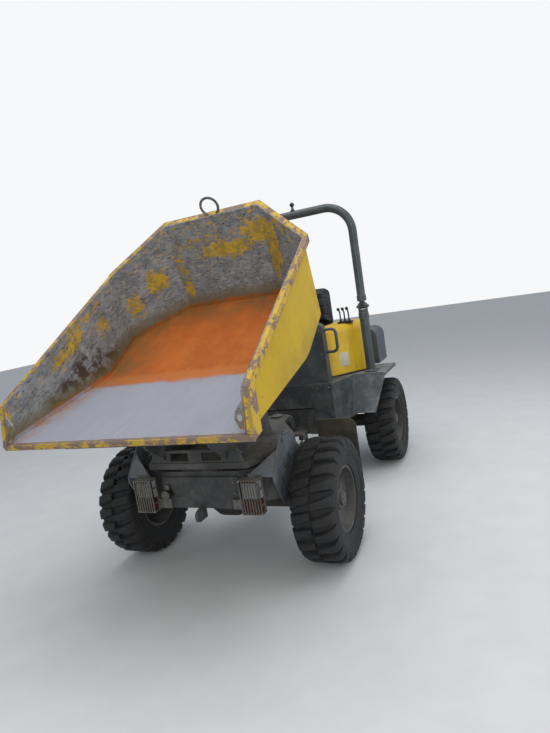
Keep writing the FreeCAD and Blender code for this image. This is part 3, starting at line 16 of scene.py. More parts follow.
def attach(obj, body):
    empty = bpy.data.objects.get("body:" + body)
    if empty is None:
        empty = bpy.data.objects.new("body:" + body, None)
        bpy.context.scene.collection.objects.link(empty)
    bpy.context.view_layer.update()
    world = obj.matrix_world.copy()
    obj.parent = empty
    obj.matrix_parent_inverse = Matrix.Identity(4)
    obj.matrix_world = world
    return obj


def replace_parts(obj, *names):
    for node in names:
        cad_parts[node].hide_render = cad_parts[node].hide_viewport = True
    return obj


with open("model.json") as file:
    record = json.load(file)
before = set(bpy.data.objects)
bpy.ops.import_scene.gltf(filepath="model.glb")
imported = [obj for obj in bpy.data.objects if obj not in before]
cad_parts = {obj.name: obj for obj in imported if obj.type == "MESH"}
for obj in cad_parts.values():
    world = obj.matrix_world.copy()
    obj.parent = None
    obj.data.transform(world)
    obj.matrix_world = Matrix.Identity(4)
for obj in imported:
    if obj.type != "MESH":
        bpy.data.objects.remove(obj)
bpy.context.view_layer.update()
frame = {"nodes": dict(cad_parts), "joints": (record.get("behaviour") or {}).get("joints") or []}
NODES = frame["nodes"]
JOINTS = {joint["name"]: joint for joint in frame["joints"]}
FRONT = JOINTS["wheel_front_left"]["pos_m"][1]
REAR = JOINTS["wheel_rear_left"]["pos_m"][1]
TIP = JOINTS["tip"]["pos_m"]
print("front axle at y", FRONT, "rear axle at y", REAR, "skip hinge at", TIP)

# %% [markdown]
# The machine was photographed standing a little to its left and close by, with the phone tilted.
# The camera's place and turn were worked out from the tyres' outlines. Blender looks along a
# camera's own minus Z, so the three directions of the view fill the columns of its matrix.

# %% Camera at the photograph's place
YAW, PITCH, ROLL = -0.4188, -0.1282, -0.1565
FOCAL_PX, HEIGHT_PX = 530.0, 733.0


def view_matrix(place, yaw, pitch, roll):
    """Camera matrix from a heading, a tilt and a roll, in radians."""
    ahead = Vector((math.sin(yaw) * math.cos(pitch), math.cos(yaw) * math.cos(pitch), math.sin(pitch)))
    right = ahead.cross(Vector((0, 0, 1))).normalized()
    up = right.cross(ahead)
    across = right * math.cos(roll) + up * math.sin(roll)
    above = up * math.cos(roll) - right * math.sin(roll)
    matrix = Matrix((across, above, -ahead)).transposed().to_4x4()
    matrix.translation = place
    return matrix


camera_data = bpy.data.cameras.new("photo_camera")
camera_data.sensor_fit = "VERTICAL"
camera_data.sensor_height = 24.0
camera_data.lens = 24.0 * FOCAL_PX / HEIGHT_PX
camera = bpy.data.objects.new("photo_camera", camera_data)
camera.matrix_world = view_matrix((2.269, FRONT - 3.770, 2.102), YAW, PITCH, ROLL)
bpy.context.scene.collection.objects.link(camera)
bpy.context.scene.camera = camera
print("lens", round(camera_data.lens, 2), "mm")

# %% [markdown]
# The sky in the yard is overcast, so the light is soft and comes from above. Three large lamps
# and a pale world do the same in a studio. The white surroundings are only seen, through Light
# Path, and add no light to the machine.

# %% Lights, world and floor
bpy.context.scene.view_settings.view_transform = "Standard"
scene_world = bpy.data.worlds.new("soft_sky")
bpy.context.scene.world = scene_world
scene_world.use_nodes = True
sky = scene_world.node_tree
sky_out = sky.nodes["World Output"]
dim = sky.nodes["Background"]
dim.inputs["Color"].default_value = (0.86, 0.92, 1.0, 1)
dim.inputs["Strength"].default_value = 0.52
seen = sky.nodes.new("ShaderNodeBackground")
seen.inputs["Color"].default_value = (0.93, 0.94, 0.95, 1)
seen.inputs["Strength"].default_value = 1.0
rays = sky.nodes.new("ShaderNodeLightPath")
either = sky.nodes.new("ShaderNodeMath")
either.operation = "MAXIMUM"
sky.links.new(rays.outputs["Is Camera Ray"], either.inputs[0])
sky.links.new(rays.outputs["Is Transmission Ray"], either.inputs[1])
chooser = sky.nodes.new("ShaderNodeMixShader")
sky.links.new(either.outputs[0], chooser.inputs[0])
sky.links.new(dim.outputs[0], chooser.inputs[1])
sky.links.new(seen.outputs[0], chooser.inputs[2])
sky.links.new(chooser.outputs[0], sky_out.inputs["Surface"])


def soft_lamp(name, place, target, size, power, colour=(1, 1, 1)):
    """A square area lamp looking at a point."""
    data = bpy.data.lights.new(name, "AREA")
    data.shape = "SQUARE"
    data.size = size
    data.energy = power
    data.color = colour
    lamp = bpy.data.objects.new(name, data)
    lamp.location = place
    lamp.rotation_euler = (Vector(target) - Vector(place)).to_track_quat("-Z", "Y").to_euler()
    bpy.context.scene.collection.objects.link(lamp)


soft_lamp("overhead", (0.5, -0.6, 7.0), (0, 0, 1.0), 6.0, 260, (0.97, 0.98, 1.0))
soft_lamp("front_fill", (3.5, -6.5, 3.6), (0, -0.5, 1.1), 4.5, 120, (1.0, 0.99, 0.97))
soft_lamp("left_fill", (6.5, 1.5, 3.4), (0, 0.4, 1.0), 4.5, 86, (0.97, 0.98, 1.0))

bpy.ops.object.select_all(action="DESELECT")
bpy.ops.mesh.primitive_plane_add(size=60, location=(0, 0, -0.002))
floor = bpy.context.object
floor.name = "yard_floor"
print("lamps", len(bpy.data.lights))

# %% [markdown]
# A finish is a small tree of nodes, and each one here starts the same way: a shader, the piece's
# own coordinates, and layers laid over each other with masks made of noise. The class below is a
# shorthand for that, so that each finish reads as a list of its layers.

# %% A shorthand for procedural finishes


class Finish:
    """One material, built layer by layer on Object coordinates."""

    def __init__(self, name, **sockets):
        self.material = bpy.data.materials.new(name)
        self.material.use_nodes = True
        self.tree = self.material.node_tree
        self.shader = self.tree.nodes["Principled BSDF"]
        self.place = self.tree.nodes.new("ShaderNodeTexCoord").outputs["Object"]
        for socket, value in sockets.items():
            self.shader.inputs[socket.replace("_", " ")].default_value = value

    def node(self, kind, inputs=(), **settings):
        made = self.tree.nodes.new("ShaderNode" + kind)
        for key, value in settings.items():
            setattr(made, key, value)
        for socket, value in dict(inputs).items():
            if isinstance(value, bpy.types.NodeSocket):
                self.tree.links.new(value, made.inputs[socket])
            else:
                made.inputs[socket].default_value = value
        return made

    def stretched(self, x, y, z, turn=(0, 0, 0), shift=(0, 0, 0)):
        """The piece's coordinates, turned, then squeezed."""
        turned = self.node("Mapping", {"Vector": self.place, "Rotation": turn, "Location": shift})
        scaled = self.node("Mapping", {"Vector": turned.outputs[0], "Scale": (x, y, z)})
        return scaled.outputs[0]

    def noise(self, scale, detail=5.0, rough=0.6, where=None):
        made = self.node("TexNoise", {"Vector": where or self.place, "Scale": scale, "Detail": detail,
                                      "Roughness": rough})
        return made.outputs["Fac"]

    def cells(self, scale, where=None, feature="F1"):
        made = self.node("TexVoronoi", {"Vector": where or self.place, "Scale": scale}, feature=feature)
        return made.outputs["Distance"]

    def mask(self, value, low, high, smooth=True):
        made = self.node("MapRange", {"Value": value, "From Min": low, "From Max": high})
        made.interpolation_type = "SMOOTHSTEP" if smooth else "LINEAR"
        return made.outputs["Result"]

    def math(self, operation, a, b=0.0):
        made = self.tree.nodes.new("ShaderNodeMath")
        made.operation = operation
        for index, value in enumerate((a, b)):
            if isinstance(value, bpy.types.NodeSocket):
                self.tree.links.new(value, made.inputs[index])
            else:
                made.inputs[index].default_value = value
        return made.outputs[0]

    def mix(self, amount, under, over):
        made = self.tree.nodes.new("ShaderNodeMix")
        made.data_type = "RGBA"
        for index, value in ((0, amount), (6, under), (7, over)):
            if isinstance(value, bpy.types.NodeSocket):
                self.tree.links.new(value, made.inputs[index])
            elif index == 0:
                made.inputs[index].default_value = value
            else:
                made.inputs[index].default_value = (*value, 1)
        return made.outputs[2]

    def axes(self, where=None):
        made = self.node("SeparateXYZ", {"Vector": where or self.place})
        return made.outputs["X"], made.outputs["Y"], made.outputs["Z"]

    def wear(self, width=0.006):
        """1 on sharp edges, 0 on flats, from the corners that a bevel would round."""
        soft = self.node("Bevel", {"Radius": width}, samples=4).outputs["Normal"]
        hard = self.node("NewGeometry").outputs["Normal"]
        dot = self.node("VectorMath", {0: soft, 1: hard}, operation="DOT_PRODUCT").outputs["Value"]
        return self.mask(dot, 0.985, 0.86)

    def colour(self, value):
        self.tree.links.new(value, self.shader.inputs["Base Color"])
        return self

    def rough(self, value, low, high):
        made = self.node("MapRange", {"Value": value, "To Min": low, "To Max": high})
        self.tree.links.new(made.outputs["Result"], self.shader.inputs["Roughness"])
        return self

    def bump(self, height, distance=0.001, strength=1.0):
        made = self.node("Bump", {"Height": height, "Distance": distance, "Strength": strength})
        if self.shader.inputs["Normal"].is_linked:
            self.tree.links.new(self.shader.inputs["Normal"].links[0].from_socket, made.inputs["Normal"])
        self.tree.links.new(made.outputs["Normal"], self.shader.inputs["Normal"])
        return self


def srgb(red, green, blue):
    """A colour as an eye reads it from a screen, 0 to 255, made linear."""
    return tuple(((c / 255 + 0.055) / 1.055) ** 2.4 if c > 10 else c / 255 / 12.92 for c in (red, green, blue))


print("yellow paint is", tuple(round(c, 3) for c in srgb(205, 170, 28)))

# %% [markdown]
# The floor is a pale grey sheet. It only has to take the shadow, with a faint mottling so that it
# doesn't look cut out.

# %% Floor finish
pale_floor = Finish("pale_floor", Roughness=0.9)
pale_floor.colour(pale_floor.mix(pale_floor.noise(3.0), srgb(205, 206, 206), srgb(222, 222, 221)))
floor.data.materials.append(pale_floor.material)

# %% [markdown]
# Paint on a machine that carries rubble wears in a fixed order: dust lies on it first, then it is
# scratched, then chips down to primer and steel show at the edges, and rust blooms round them. The
# function lays those over one base colour, so that every painted part ages in the same way. Dust
# settles on what faces up, so the surface's own direction says where it lies thickest.

# %% Worn paint


def facing_up(finish, low=0.35, high=0.95):
    """1 on surfaces that look to the sky, 0 on walls."""
    return finish.mask(finish.axes(finish.node("NewGeometry").outputs["Normal"])[2], low, high)


def worn_paint(name, base, shade, chip_colour=srgb(96, 70, 52), chips=0.64, dust=0.35, dirt=0.5, rough=0.5,
               scratch=0.5, seed=0.0, speck=0.3, dust_colour=srgb(142, 139, 132)):
    """Painted steel with stains, fine scratches, chips, specks of dirt and dust."""
    paint = Finish(name, Metallic=0.0)
    moved = paint.stretched(1, 1, 1, shift=(seed, seed * 0.7, -seed))
    stain = paint.mask(paint.noise(2.6, 6, 0.65, moved), 0.38, 0.70)
    colour = paint.mix(stain, base, shade)
    fleck = paint.mask(paint.noise(60, 3, 0.7, moved), 0.58, 0.72)
    colour = paint.mix(paint.math("MULTIPLY", fleck, 0.35 * dirt), colour, srgb(60, 54, 46))
    runs = paint.noise(5.5, 5, 0.6, paint.stretched(5, 5, 0.35, shift=(seed, 0, 0)))
    streak = paint.math("MULTIPLY", paint.mask(runs, 0.50, 0.76), 0.55 * dirt)
    colour = paint.mix(streak, colour, srgb(74, 62, 46))
    fine = paint.noise(30, 2, 0.5, paint.stretched(0.12, 1.6, 2.4, turn=(0.5, 0.3, 0.9)))
    lines = paint.math("MULTIPLY", paint.mask(fine, 0.66, 0.70), scratch)
    colour = paint.mix(lines, colour, srgb(122, 118, 108))
    patch = paint.noise(9, 8, 0.72, moved)
    edge = paint.math("MULTIPLY", paint.wear(0.008), 0.34)
    worn = paint.mask(paint.math("ADD", patch, edge), chips, chips + 0.035)
    colour = paint.mix(worn, colour, chip_colour)
    spots = paint.mask(paint.cells(70, moved), 0.20, 0.14)
    clumps = paint.mask(paint.noise(3.4, 4, 0.6, moved), 0.44, 0.66)
    spots = paint.math("MULTIPLY", paint.math("MULTIPLY", spots, clumps), speck)
    colour = paint.mix(spots, colour, dust_colour)
    dusty = paint.mask(paint.noise(4.2, 7, 0.7, moved), 0.42, 0.78)
    settled = paint.math("MULTIPLY", facing_up(paint), paint.mask(paint.noise(7.0, 6, 0.7, moved), 0.20, 0.62))
    dusty = paint.math("MAXIMUM", dusty, settled)
    colour = paint.mix(paint.math("MULTIPLY", dusty, dust), colour, dust_colour)
    paint.colour(colour)
    paint.rough(paint.math("ADD", worn, paint.math("MULTIPLY", dusty, 0.5)), rough, min(rough + 0.32, 0.95))
    paint.bump(paint.math("SUBTRACT", paint.math("MULTIPLY", paint.noise(140, 3, 0.5), 0.2), worn), 0.0006, 0.7)
    return paint.material


FINISHES = {
    "hood_yellow": worn_paint("hood_yellow", srgb(222, 182, 36), srgb(202, 162, 34), srgb(98, 58, 34), 0.66, 0.10,
                              0.6, 0.34, 0.12, 3.0, 0.9, srgb(108, 66, 34)),
    "rim_yellow": worn_paint("rim_yellow", srgb(212, 172, 30), srgb(186, 150, 44), srgb(134, 112, 98), 0.485, 0.22,
                             0.8, 0.5, 0.9, 5.0, 0.5, srgb(112, 78, 52)),
    "chassis_grey": worn_paint("chassis_grey", srgb(56, 59, 61), srgb(44, 46, 48), srgb(84, 78, 70), 0.66, 0.38,
                               0.5, 0.55, 0.25, 1.0, 0.5),
    "table_grey": worn_paint("table_grey", srgb(60, 63, 64), srgb(46, 48, 48), srgb(92, 84, 74), 0.66, 0.45,
                             0.6, 0.55, 0.25, 11.0, 0.5),
    "deck_grey": worn_paint("deck_grey", srgb(68, 76, 82), srgb(52, 59, 64), srgb(100, 98, 92), 0.66, 0.72, 0.5,
                            0.5, 0.4, 2.0, 1.0, srgb(138, 142, 144)),
    "skirt_dark": worn_paint("skirt_dark", srgb(50, 55, 56), srgb(40, 44, 45), srgb(96, 94, 88), 0.67, 0.5, 0.4,
                             0.55, 0.3, 12.0, 0.9, srgb(132, 134, 132)),
    "panel_dark": worn_paint("panel_dark", srgb(66, 72, 76), srgb(54, 60, 64), srgb(112, 110, 104), 0.70, 0.22, 0.3,
                             0.36, 0.2, 4.0, 0.25),
    "cover_blue_grey": worn_paint("cover_blue_grey", srgb(66, 76, 88), srgb(52, 60, 72), srgb(100, 100, 100), 0.70,
                                  0.28, 0.3, 0.45, 0.2, 13.0, 0.3),
    "bar_green_grey": worn_paint("bar_green_grey", srgb(62, 71, 73), srgb(50, 58, 60), srgb(126, 126, 118), 0.69,
                                 0.18, 0.3, 0.36, 0.15, 6.0, 0.35),
    "axle_cast": worn_paint("axle_cast", srgb(46, 45, 43), srgb(35, 34, 33), srgb(92, 66, 46), 0.60, 0.42, 0.7,
                            0.7, 0.1, 7.0, 0.4),
    "guard_steel": worn_paint("guard_steel", srgb(112, 112, 108), srgb(76, 76, 74), srgb(92, 78, 66), 0.60, 0.35,
                              0.6, 0.45, 0.4, 8.0, 0.4),
    "wheel_grey": worn_paint("wheel_grey", srgb(66, 66, 64), srgb(44, 44, 43), srgb(92, 74, 60), 0.63, 0.34,
                             0.7, 0.5, 0.2, 9.0, 1.0, srgb(146, 144, 138)),
    "wing_grey": worn_paint("wing_grey", srgb(98, 104, 110), srgb(70, 74, 78), srgb(58, 54, 48), 0.61, 0.6, 0.5,
                            0.45, 0.6, 14.0, 0.6, srgb(156, 160, 164)),
    "flap_olive": worn_paint("flap_olive", srgb(62, 60, 48), srgb(46, 45, 38), srgb(90, 82, 62), 0.6, 0.5, 0.8,
                             0.75, 0.1, 10.0, 0.9, srgb(118, 112, 92)),
}
print(len(FINISHES), "painted finishes")

# %% [markdown]
# The skip's sheet is painted yellow outside. Inside, the load has done the painting: the ramp is
# polished to a pale grey, the flat bottom lies under standing water and is orange with rust, and
# the walls are scoured, with paint left in streaks near the top. One material does all of it. It
# reads the place in the skip's own level frame, and the surface's own direction tells in from out.

# %% Where the skip's zones lie
TILT = math.radians(32)
LEAN = math.radians(17)


def skip_frame_place(paint):
    """Coordinates turned level with the skip, from its hinge."""
    turn = Matrix.Rotation(-TILT, 3, "X")
    shift = -(turn @ Vector(TIP))
    return paint.node("Mapping", {"Vector": paint.place, "Rotation": (-TILT, 0, 0), "Location": shift}).outputs[0]


def spot(paint, level, centre, size, ragged, edge=0.25):
    """1 inside a ragged ellipsoid at a place in the skip's level frame."""
    moved = paint.node("Mapping", {"Vector": level, "Location": [-c / s for c, s in zip(centre, size)],
                                   "Scale": [1 / s for s in size]}).outputs[0]
    far = paint.node("VectorMath", {0: moved}, operation="LENGTH").outputs["Value"]
    return paint.mask(paint.math("ADD", far, ragged), 1.0 + edge, 1.0 - edge)


# The yellow that is left on the walls, as the photograph shows it: middle, half sizes, strength
PAINT_LEFT = (
    ((-0.20, 1.66, 0.70), (0.34, 0.14, 0.09), 0.55),
    ((0.10, 1.66, 0.60), (0.30, 0.12, 0.08), 1.0),
    ((0.42, 1.66, 0.70), (0.18, 0.14, 0.12), 0.95),
    ((0.56, 1.60, 0.52), (0.09, 0.14, 0.24), 1.0),
    ((-0.42, 1.66, 0.50), (0.07, 0.10, 0.16), 0.7),
    ((-0.40, 1.62, 0.30), (0.06, 0.10, 0.12), 0.8),
    ((-0.64, 1.50, 0.50), (0.13, 0.12, 0.10), 1.0),
    ((-0.84, 1.30, 0.40), (0.09, 0.12, 0.12), 0.8),
    ((-0.93, 0.86, 0.50), (0.08, 0.12, 0.10), 0.7),
    ((-0.95, 0.40, 0.60), (0.08, 0.30, 0.07), 0.75),
    ((-0.95, 0.70, 0.68), (0.08, 0.40, 0.07), 0.6),
    ((-0.55, 1.50, 0.84), (0.30, 0.20, 0.05), 0.55),
    ((0.72, 1.40, 0.80), (0.20, 0.30, 0.12), 0.65),
    ((0.94, 0.80, 0.60), (0.08, 0.50, 0.16), 0.75),
    ((0.94, 0.20, 0.40), (0.08, 0.30, 0.10), 0.6),
)
BROWN_MUD = (((-0.92, 0.30, 0.34), (0.12, 0.46, 0.16)), ((-0.92, 0.66, 0.20), (0.10, 0.30, 0.12)))

# %% Skip sheet: yellow outside, worn zones inside


def scoured_wall(sheet, level, ragged):
    """Grey steel with dark scuffs and brown smears, and paint left in streaks and specks."""
    grain = sheet.noise(7, 9, 0.72, level)
    grey = sheet.mix(sheet.mask(grain, 0.34, 0.66), srgb(108, 111, 112), srgb(146, 148, 149))
    grey = sheet.mix(sheet.math("MULTIPLY", sheet.mask(sheet.noise(15, 6, 0.75, level), 0.52, 0.72), 0.6), grey,
                     srgb(100, 93, 80))
    brushed = sheet.node("Mapping", {"Vector": level, "Rotation": (0.5, 0, 0), "Scale": (1.2, 0.5, 3.4)}).outputs[0]
    strokes = sheet.noise(16, 6, 0.7, brushed)
    paler = sheet.math("MULTIPLY", sheet.mask(strokes, 0.53, 0.62), 0.7)
    grey = sheet.mix(paler, grey, srgb(168, 166, 160))
    slanted = sheet.node("Mapping", {"Vector": level, "Rotation": (-0.7, 0.3, 0.2), "Scale": (1.0, 0.8, 2.8)})
    scuffs = sheet.noise(22, 7, 0.78, slanted.outputs[0])
    grey = sheet.mix(sheet.math("MULTIPLY", sheet.mask(scuffs, 0.545, 0.60), 0.85), grey, srgb(56, 54, 49))
    left = 0.0
    for centre, size, strength in PAINT_LEFT:
        patch = sheet.math("MULTIPLY", spot(sheet, level, centre, size, ragged, 0.6), strength)
        left = sheet.math("MAXIMUM", left, patch)
    high = sheet.mask(sheet.axes(level)[2], 0.34, 0.80)
    left = sheet.math("MAXIMUM", left, sheet.math("MULTIPLY", high, 0.34))
    broken = sheet.math("ADD", sheet.math("MULTIPLY", left, 0.20), sheet.math("MULTIPLY", strokes, 0.55))
    broken = sheet.math("ADD", broken, sheet.math("MULTIPLY", sheet.noise(34, 6, 0.78, level), 0.45))
    kept = sheet.mask(broken, 0.600, 0.640)
    yellow = sheet.mix(sheet.mask(sheet.noise(12, 6, 0.7, level), 0.36, 0.62), srgb(150, 124, 58), srgb(196, 160, 48))
    wall = sheet.mix(kept, grey, yellow)
    mud = 0.0
    for centre, size in BROWN_MUD:
        mud = sheet.math("MAXIMUM", mud, spot(sheet, level, centre, size, ragged, 0.4))
    mud = sheet.math("MULTIPLY", mud, sheet.mask(sheet.noise(11, 7, 0.72, level), 0.42, 0.56))
    wall = sheet.mix(mud, wall, srgb(70, 58, 48))
    rust = sheet.math("MULTIPLY", sheet.mask(sheet.noise(42, 4, 0.7, level), 0.62, 0.69), kept)
    return sheet.mix(rust, wall, srgb(104, 70, 46)), kept


def orange_floor(sheet, level, across, back):
    """Wet rust: brownish at the left and the back, with a painted highlight along the bend."""
    orange = sheet.mix(sheet.mask(sheet.noise(3.4, 7, 0.66, level), 0.34, 0.66), srgb(168, 84, 22),
                       srgb(184, 98, 30))
    orange = sheet.mix(sheet.mask(sheet.noise(18, 7, 0.72, level), 0.50, 0.74), orange, srgb(146, 88, 42))
    brown = sheet.math("ADD", sheet.mask(across, -0.35, -0.95), sheet.mask(back, 1.15, 1.55))
    brown = sheet.math("MULTIPLY", brown, sheet.mask(sheet.noise(5, 6, 0.7, level), 0.30, 0.62))
    orange = sheet.mix(sheet.math("MULTIPLY", brown, 0.85), orange, srgb(116, 90, 50))
    # painted highlight: a paler orange stripe where the floor bends and catches the light
    bend_highlight = sheet.math("MULTIPLY", sheet.mask(back, 0.62, 0.52), sheet.mask(back, 0.36, 0.46))
    return sheet.mix(sheet.math("MULTIPLY", bend_highlight, 0.45), orange, srgb(186, 118, 66))


def polished_ramp(sheet, level, across):
    """Bare steel rubbed pale by the load, with a few faint scratches down the slope."""
    strokes = sheet.noise(20, 4, 0.6, sheet.node("Mapping", {"Vector": level, "Scale": (2.6, 0.12, 0.12)}).outputs[0])
    pale = sheet.mix(sheet.mask(strokes, 0.34, 0.68), srgb(150, 151, 160), srgb(155, 156, 165))
    pale = sheet.mix(sheet.mask(sheet.noise(1.6, 5, 0.6, level), 0.42, 0.74), pale, srgb(144, 144, 151))
    hair = sheet.noise(26, 2, 0.5, sheet.node("Mapping", {"Vector": level, "Rotation": (0, 0, 0.5),
                                                          "Scale": (2.0, 0.10, 0.10)}).outputs[0])
    pale = sheet.mix(sheet.math("MULTIPLY", sheet.mask(hair, 0.70, 0.73), 0.5), pale, srgb(178, 179, 184))
    tint = sheet.math("MULTIPLY", sheet.mask(across, -0.70, -0.95), sheet.mask(sheet.noise(8, 6, 0.7, level), 0.4, 0.6))
    return sheet.mix(sheet.math("MULTIPLY", tint, 0.7), pale, srgb(166, 110, 70))


def yellow_outside(sheet, level, up, ragged):
    """Plain paint with a few black chips and long scratches."""
    outside = sheet.mix(sheet.mask(sheet.noise(2.0, 5, 0.6, level), 0.4, 0.74), srgb(206, 170, 14),
                        srgb(188, 152, 16))
    rub = sheet.noise(16, 3, 0.6, sheet.node("Mapping", {"Vector": level, "Rotation": (0.45, 0, 0),
                                                         "Scale": (1.0, 0.22, 2.6)}).outputs[0])
    outside = sheet.mix(sheet.math("MULTIPLY", sheet.mask(rub, 0.64, 0.72), 0.35), outside, srgb(160, 130, 34))
    nick = sheet.mask(sheet.math("ADD", sheet.noise(34, 6, 0.75, level), sheet.math("MULTIPLY", ragged, 0.16)),
                      0.655, 0.68)
    outside = sheet.mix(nick, outside, srgb(52, 44, 30))
    low_dirt = sheet.math("MULTIPLY", sheet.mask(sheet.math("ADD", up, ragged), 0.38, 0.05), 0.40)
    return sheet.mix(low_dirt, outside, srgb(122, 104, 58))


def skip_sheet_finish():
    sheet = Finish("skip_sheet", Specular_IOR_Level=0.28)
    level = skip_frame_place(sheet)
    across, back, up = sheet.axes(level)
    normal = sheet.node("TexCoord").outputs["Normal"]
    level_normal = sheet.node("Mapping", {"Vector": normal, "Rotation": (-TILT, 0, 0)}, vector_type="NORMAL")
    facing_x, facing_y, facing_z = sheet.axes(level_normal.outputs[0])
    # inside: walls look to the middle, the floor looks up and the back looks forward
    inward = sheet.math("MULTIPLY", sheet.math("MULTIPLY", sheet.math("SIGN", across), facing_x), -1.0)
    at_back = sheet.math("MULTIPLY", sheet.math("GREATER_THAN", back, 0.95), sheet.math("MULTIPLY", facing_y, -1.0))
    inside = sheet.math("GREATER_THAN", sheet.math("MAXIMUM", sheet.math("MAXIMUM", inward, facing_z), at_back), 0.22)
    ragged = sheet.math("SUBTRACT", sheet.noise(4.5, 8, 0.68, level), 0.5)
    coarse = sheet.math("SUBTRACT", sheet.noise(1.6, 4, 0.6, level), 0.5)

    wall, kept = scoured_wall(sheet, level, sheet.math("MULTIPLY", ragged, 1.6))
    wobble = sheet.math("ADD", sheet.math("MULTIPLY", ragged, 0.10), sheet.math("MULTIPLY", coarse, 0.06))
    reach = sheet.math("ADD", up, wobble)
    ramp_line = sheet.math("ADD", reach, sheet.math("MULTIPLY", sheet.math("MINIMUM", back, 0.631), 0.343))
    transition = sheet.mask(ramp_line, 0.52, 0.40)
    zone = sheet.mix(sheet.math("MULTIPLY", transition, 0.75), wall, srgb(112, 98, 62))
    low = sheet.mask(ramp_line, 0.405, 0.375)
    zone = sheet.mix(low, zone, orange_floor(sheet, level, across, back))
    front = sheet.math("ADD", back, sheet.math("MULTIPLY", ragged, 0.16))
    on_ramp = sheet.mask(sheet.math("ADD", up, sheet.math("MULTIPLY", back, 0.343)), 0.392, 0.372)
    ramp_zone = sheet.math("MULTIPLY", sheet.mask(front, 0.44, 0.36), on_ramp)
    zone = sheet.mix(ramp_zone, zone, polished_ramp(sheet, level, across))

    sheet.colour(sheet.mix(inside, yellow_outside(sheet, level, up, ragged), zone))
    gloss = sheet.math("MULTIPLY", ramp_zone, inside)
    sheet.rough(sheet.math("ADD", sheet.math("MULTIPLY", inside, 0.55), sheet.math("MULTIPLY", gloss, -0.25)), 0.36,
                0.98)
    dents = sheet.math("ADD", sheet.math("MULTIPLY", sheet.noise(2.4, 3, 0.5, level), 6.0),
                       sheet.math("MULTIPLY", kept, 0.3))
    sheet.bump(sheet.math("ADD", dents, sheet.math("MULTIPLY", sheet.noise(60, 4, 0.6, level), 0.25)), 0.002, 0.55)
    return sheet.material


FINISHES["skip_sheet"] = skip_sheet_finish()

# %% [markdown]
# Rubber is nearly black with a brown-grey bloom of dust in everything that doesn't touch the
# ground. Glass, chrome and moulded plastic are short trees of their own.

# %% Rubber, plastic, metal and glass


def rubber_finish():
    rubber = Finish("tyre_rubber")
    dust = rubber.mask(rubber.noise(7, 7, 0.7), 0.40, 0.72)
    colour = rubber.mix(dust, srgb(20, 21, 23), srgb(44, 43, 42))
    grit = rubber.mask(rubber.noise(45, 5, 0.7), 0.56, 0.76)
    colour = rubber.mix(rubber.math("MULTIPLY", grit, 0.45), colour, srgb(84, 81, 76))
    rubber.colour(colour).rough(dust, 0.62, 0.92)
    rubber.bump(rubber.noise(110, 5, 0.65), 0.0012, 0.6)
    return rubber.material


def plastic_finish(name, colour, speck, rough=0.5):
    plastic = Finish(name)
    dust = plastic.mask(plastic.noise(8, 6, 0.7), 0.45, 0.8)
    plastic.colour(plastic.mix(plastic.math("MULTIPLY", dust, 0.5), colour, speck)).rough(dust, rough, 0.85)
    plastic.bump(plastic.cells(900), 0.0002, 0.4)
    return plastic.material


def metal_finish(name, colour, dark, rough=0.25):
    metal = Finish(name, Metallic=1.0)
    smear = metal.mask(metal.noise(12, 6, 0.7), 0.4, 0.75)
    metal.colour(metal.mix(smear, colour, dark)).rough(smear, rough, rough + 0.35)
    metal.bump(metal.noise(200, 3, 0.6), 0.0002, 0.3)
    return metal.material


def glass_finish(name, colour, speck, rough=0.12):
    glass = Finish(name, **{"Transmission_Weight": 0.55, "IOR": 1.5})
    ribs = glass.math("SINE", glass.math("MULTIPLY", glass.axes()[0], 620.0))
    glass.colour(glass.mix(glass.mask(glass.noise(20, 5, 0.7), 0.5, 0.8), colour, speck))
    glass.rough(glass.noise(14), rough, rough + 0.2)
    glass.bump(ribs, 0.001, 0.4)
    return glass.material


FINISHES.update({
    "rubber": rubber_finish(),
    "black_plastic": plastic_finish("black_plastic", srgb(26, 27, 29), srgb(84, 80, 74)),
    "grey_plastic": plastic_finish("grey_plastic", srgb(58, 60, 62), srgb(110, 104, 96)),
    "label_grey": plastic_finish("label_grey", srgb(196, 190, 168), srgb(150, 128, 74), 0.45),
    "bright_steel": metal_finish("bright_steel", srgb(170, 168, 164), srgb(110, 100, 90)),
    "chrome_rod": metal_finish("chrome_rod", srgb(205, 206, 210), srgb(150, 146, 140), 0.1),
    "exhaust_rust": metal_finish("exhaust_rust", srgb(110, 84, 66), srgb(74, 52, 40), 0.55),
    "lamp_clear": glass_finish("lamp_clear", srgb(226, 230, 232), srgb(190, 184, 172)),
    "lamp_red": glass_finish("lamp_red", srgb(176, 40, 26), srgb(120, 48, 34)),
    "lamp_orange": glass_finish("lamp_orange", srgb(122, 40, 26), srgb(74, 44, 36)),
})


def seat_finish():
    """Dark vinyl with fine grain and a dusty bloom."""
    vinyl = Finish("seat_vinyl")
    dust = vinyl.mask(vinyl.noise(6, 6, 0.7), 0.46, 0.8)
    vinyl.colour(vinyl.mix(vinyl.math("MULTIPLY", dust, 0.45), srgb(28, 30, 40), srgb(92, 92, 96)))
    vinyl.rough(dust, 0.42, 0.8)
    vinyl.bump(vinyl.math("ADD", vinyl.cells(420), vinyl.math("MULTIPLY", vinyl.noise(30), 0.6)), 0.0005, 0.5)
    return vinyl.material


FINISHES["seat_vinyl"] = seat_finish()
print(len(FINISHES), "finishes in all")

# %% [markdown]
# Each solid part keeps its mesh and gets its finish by name. The list is in the order in which a
# fitter would walk round the machine, from the load back to the rear cover.

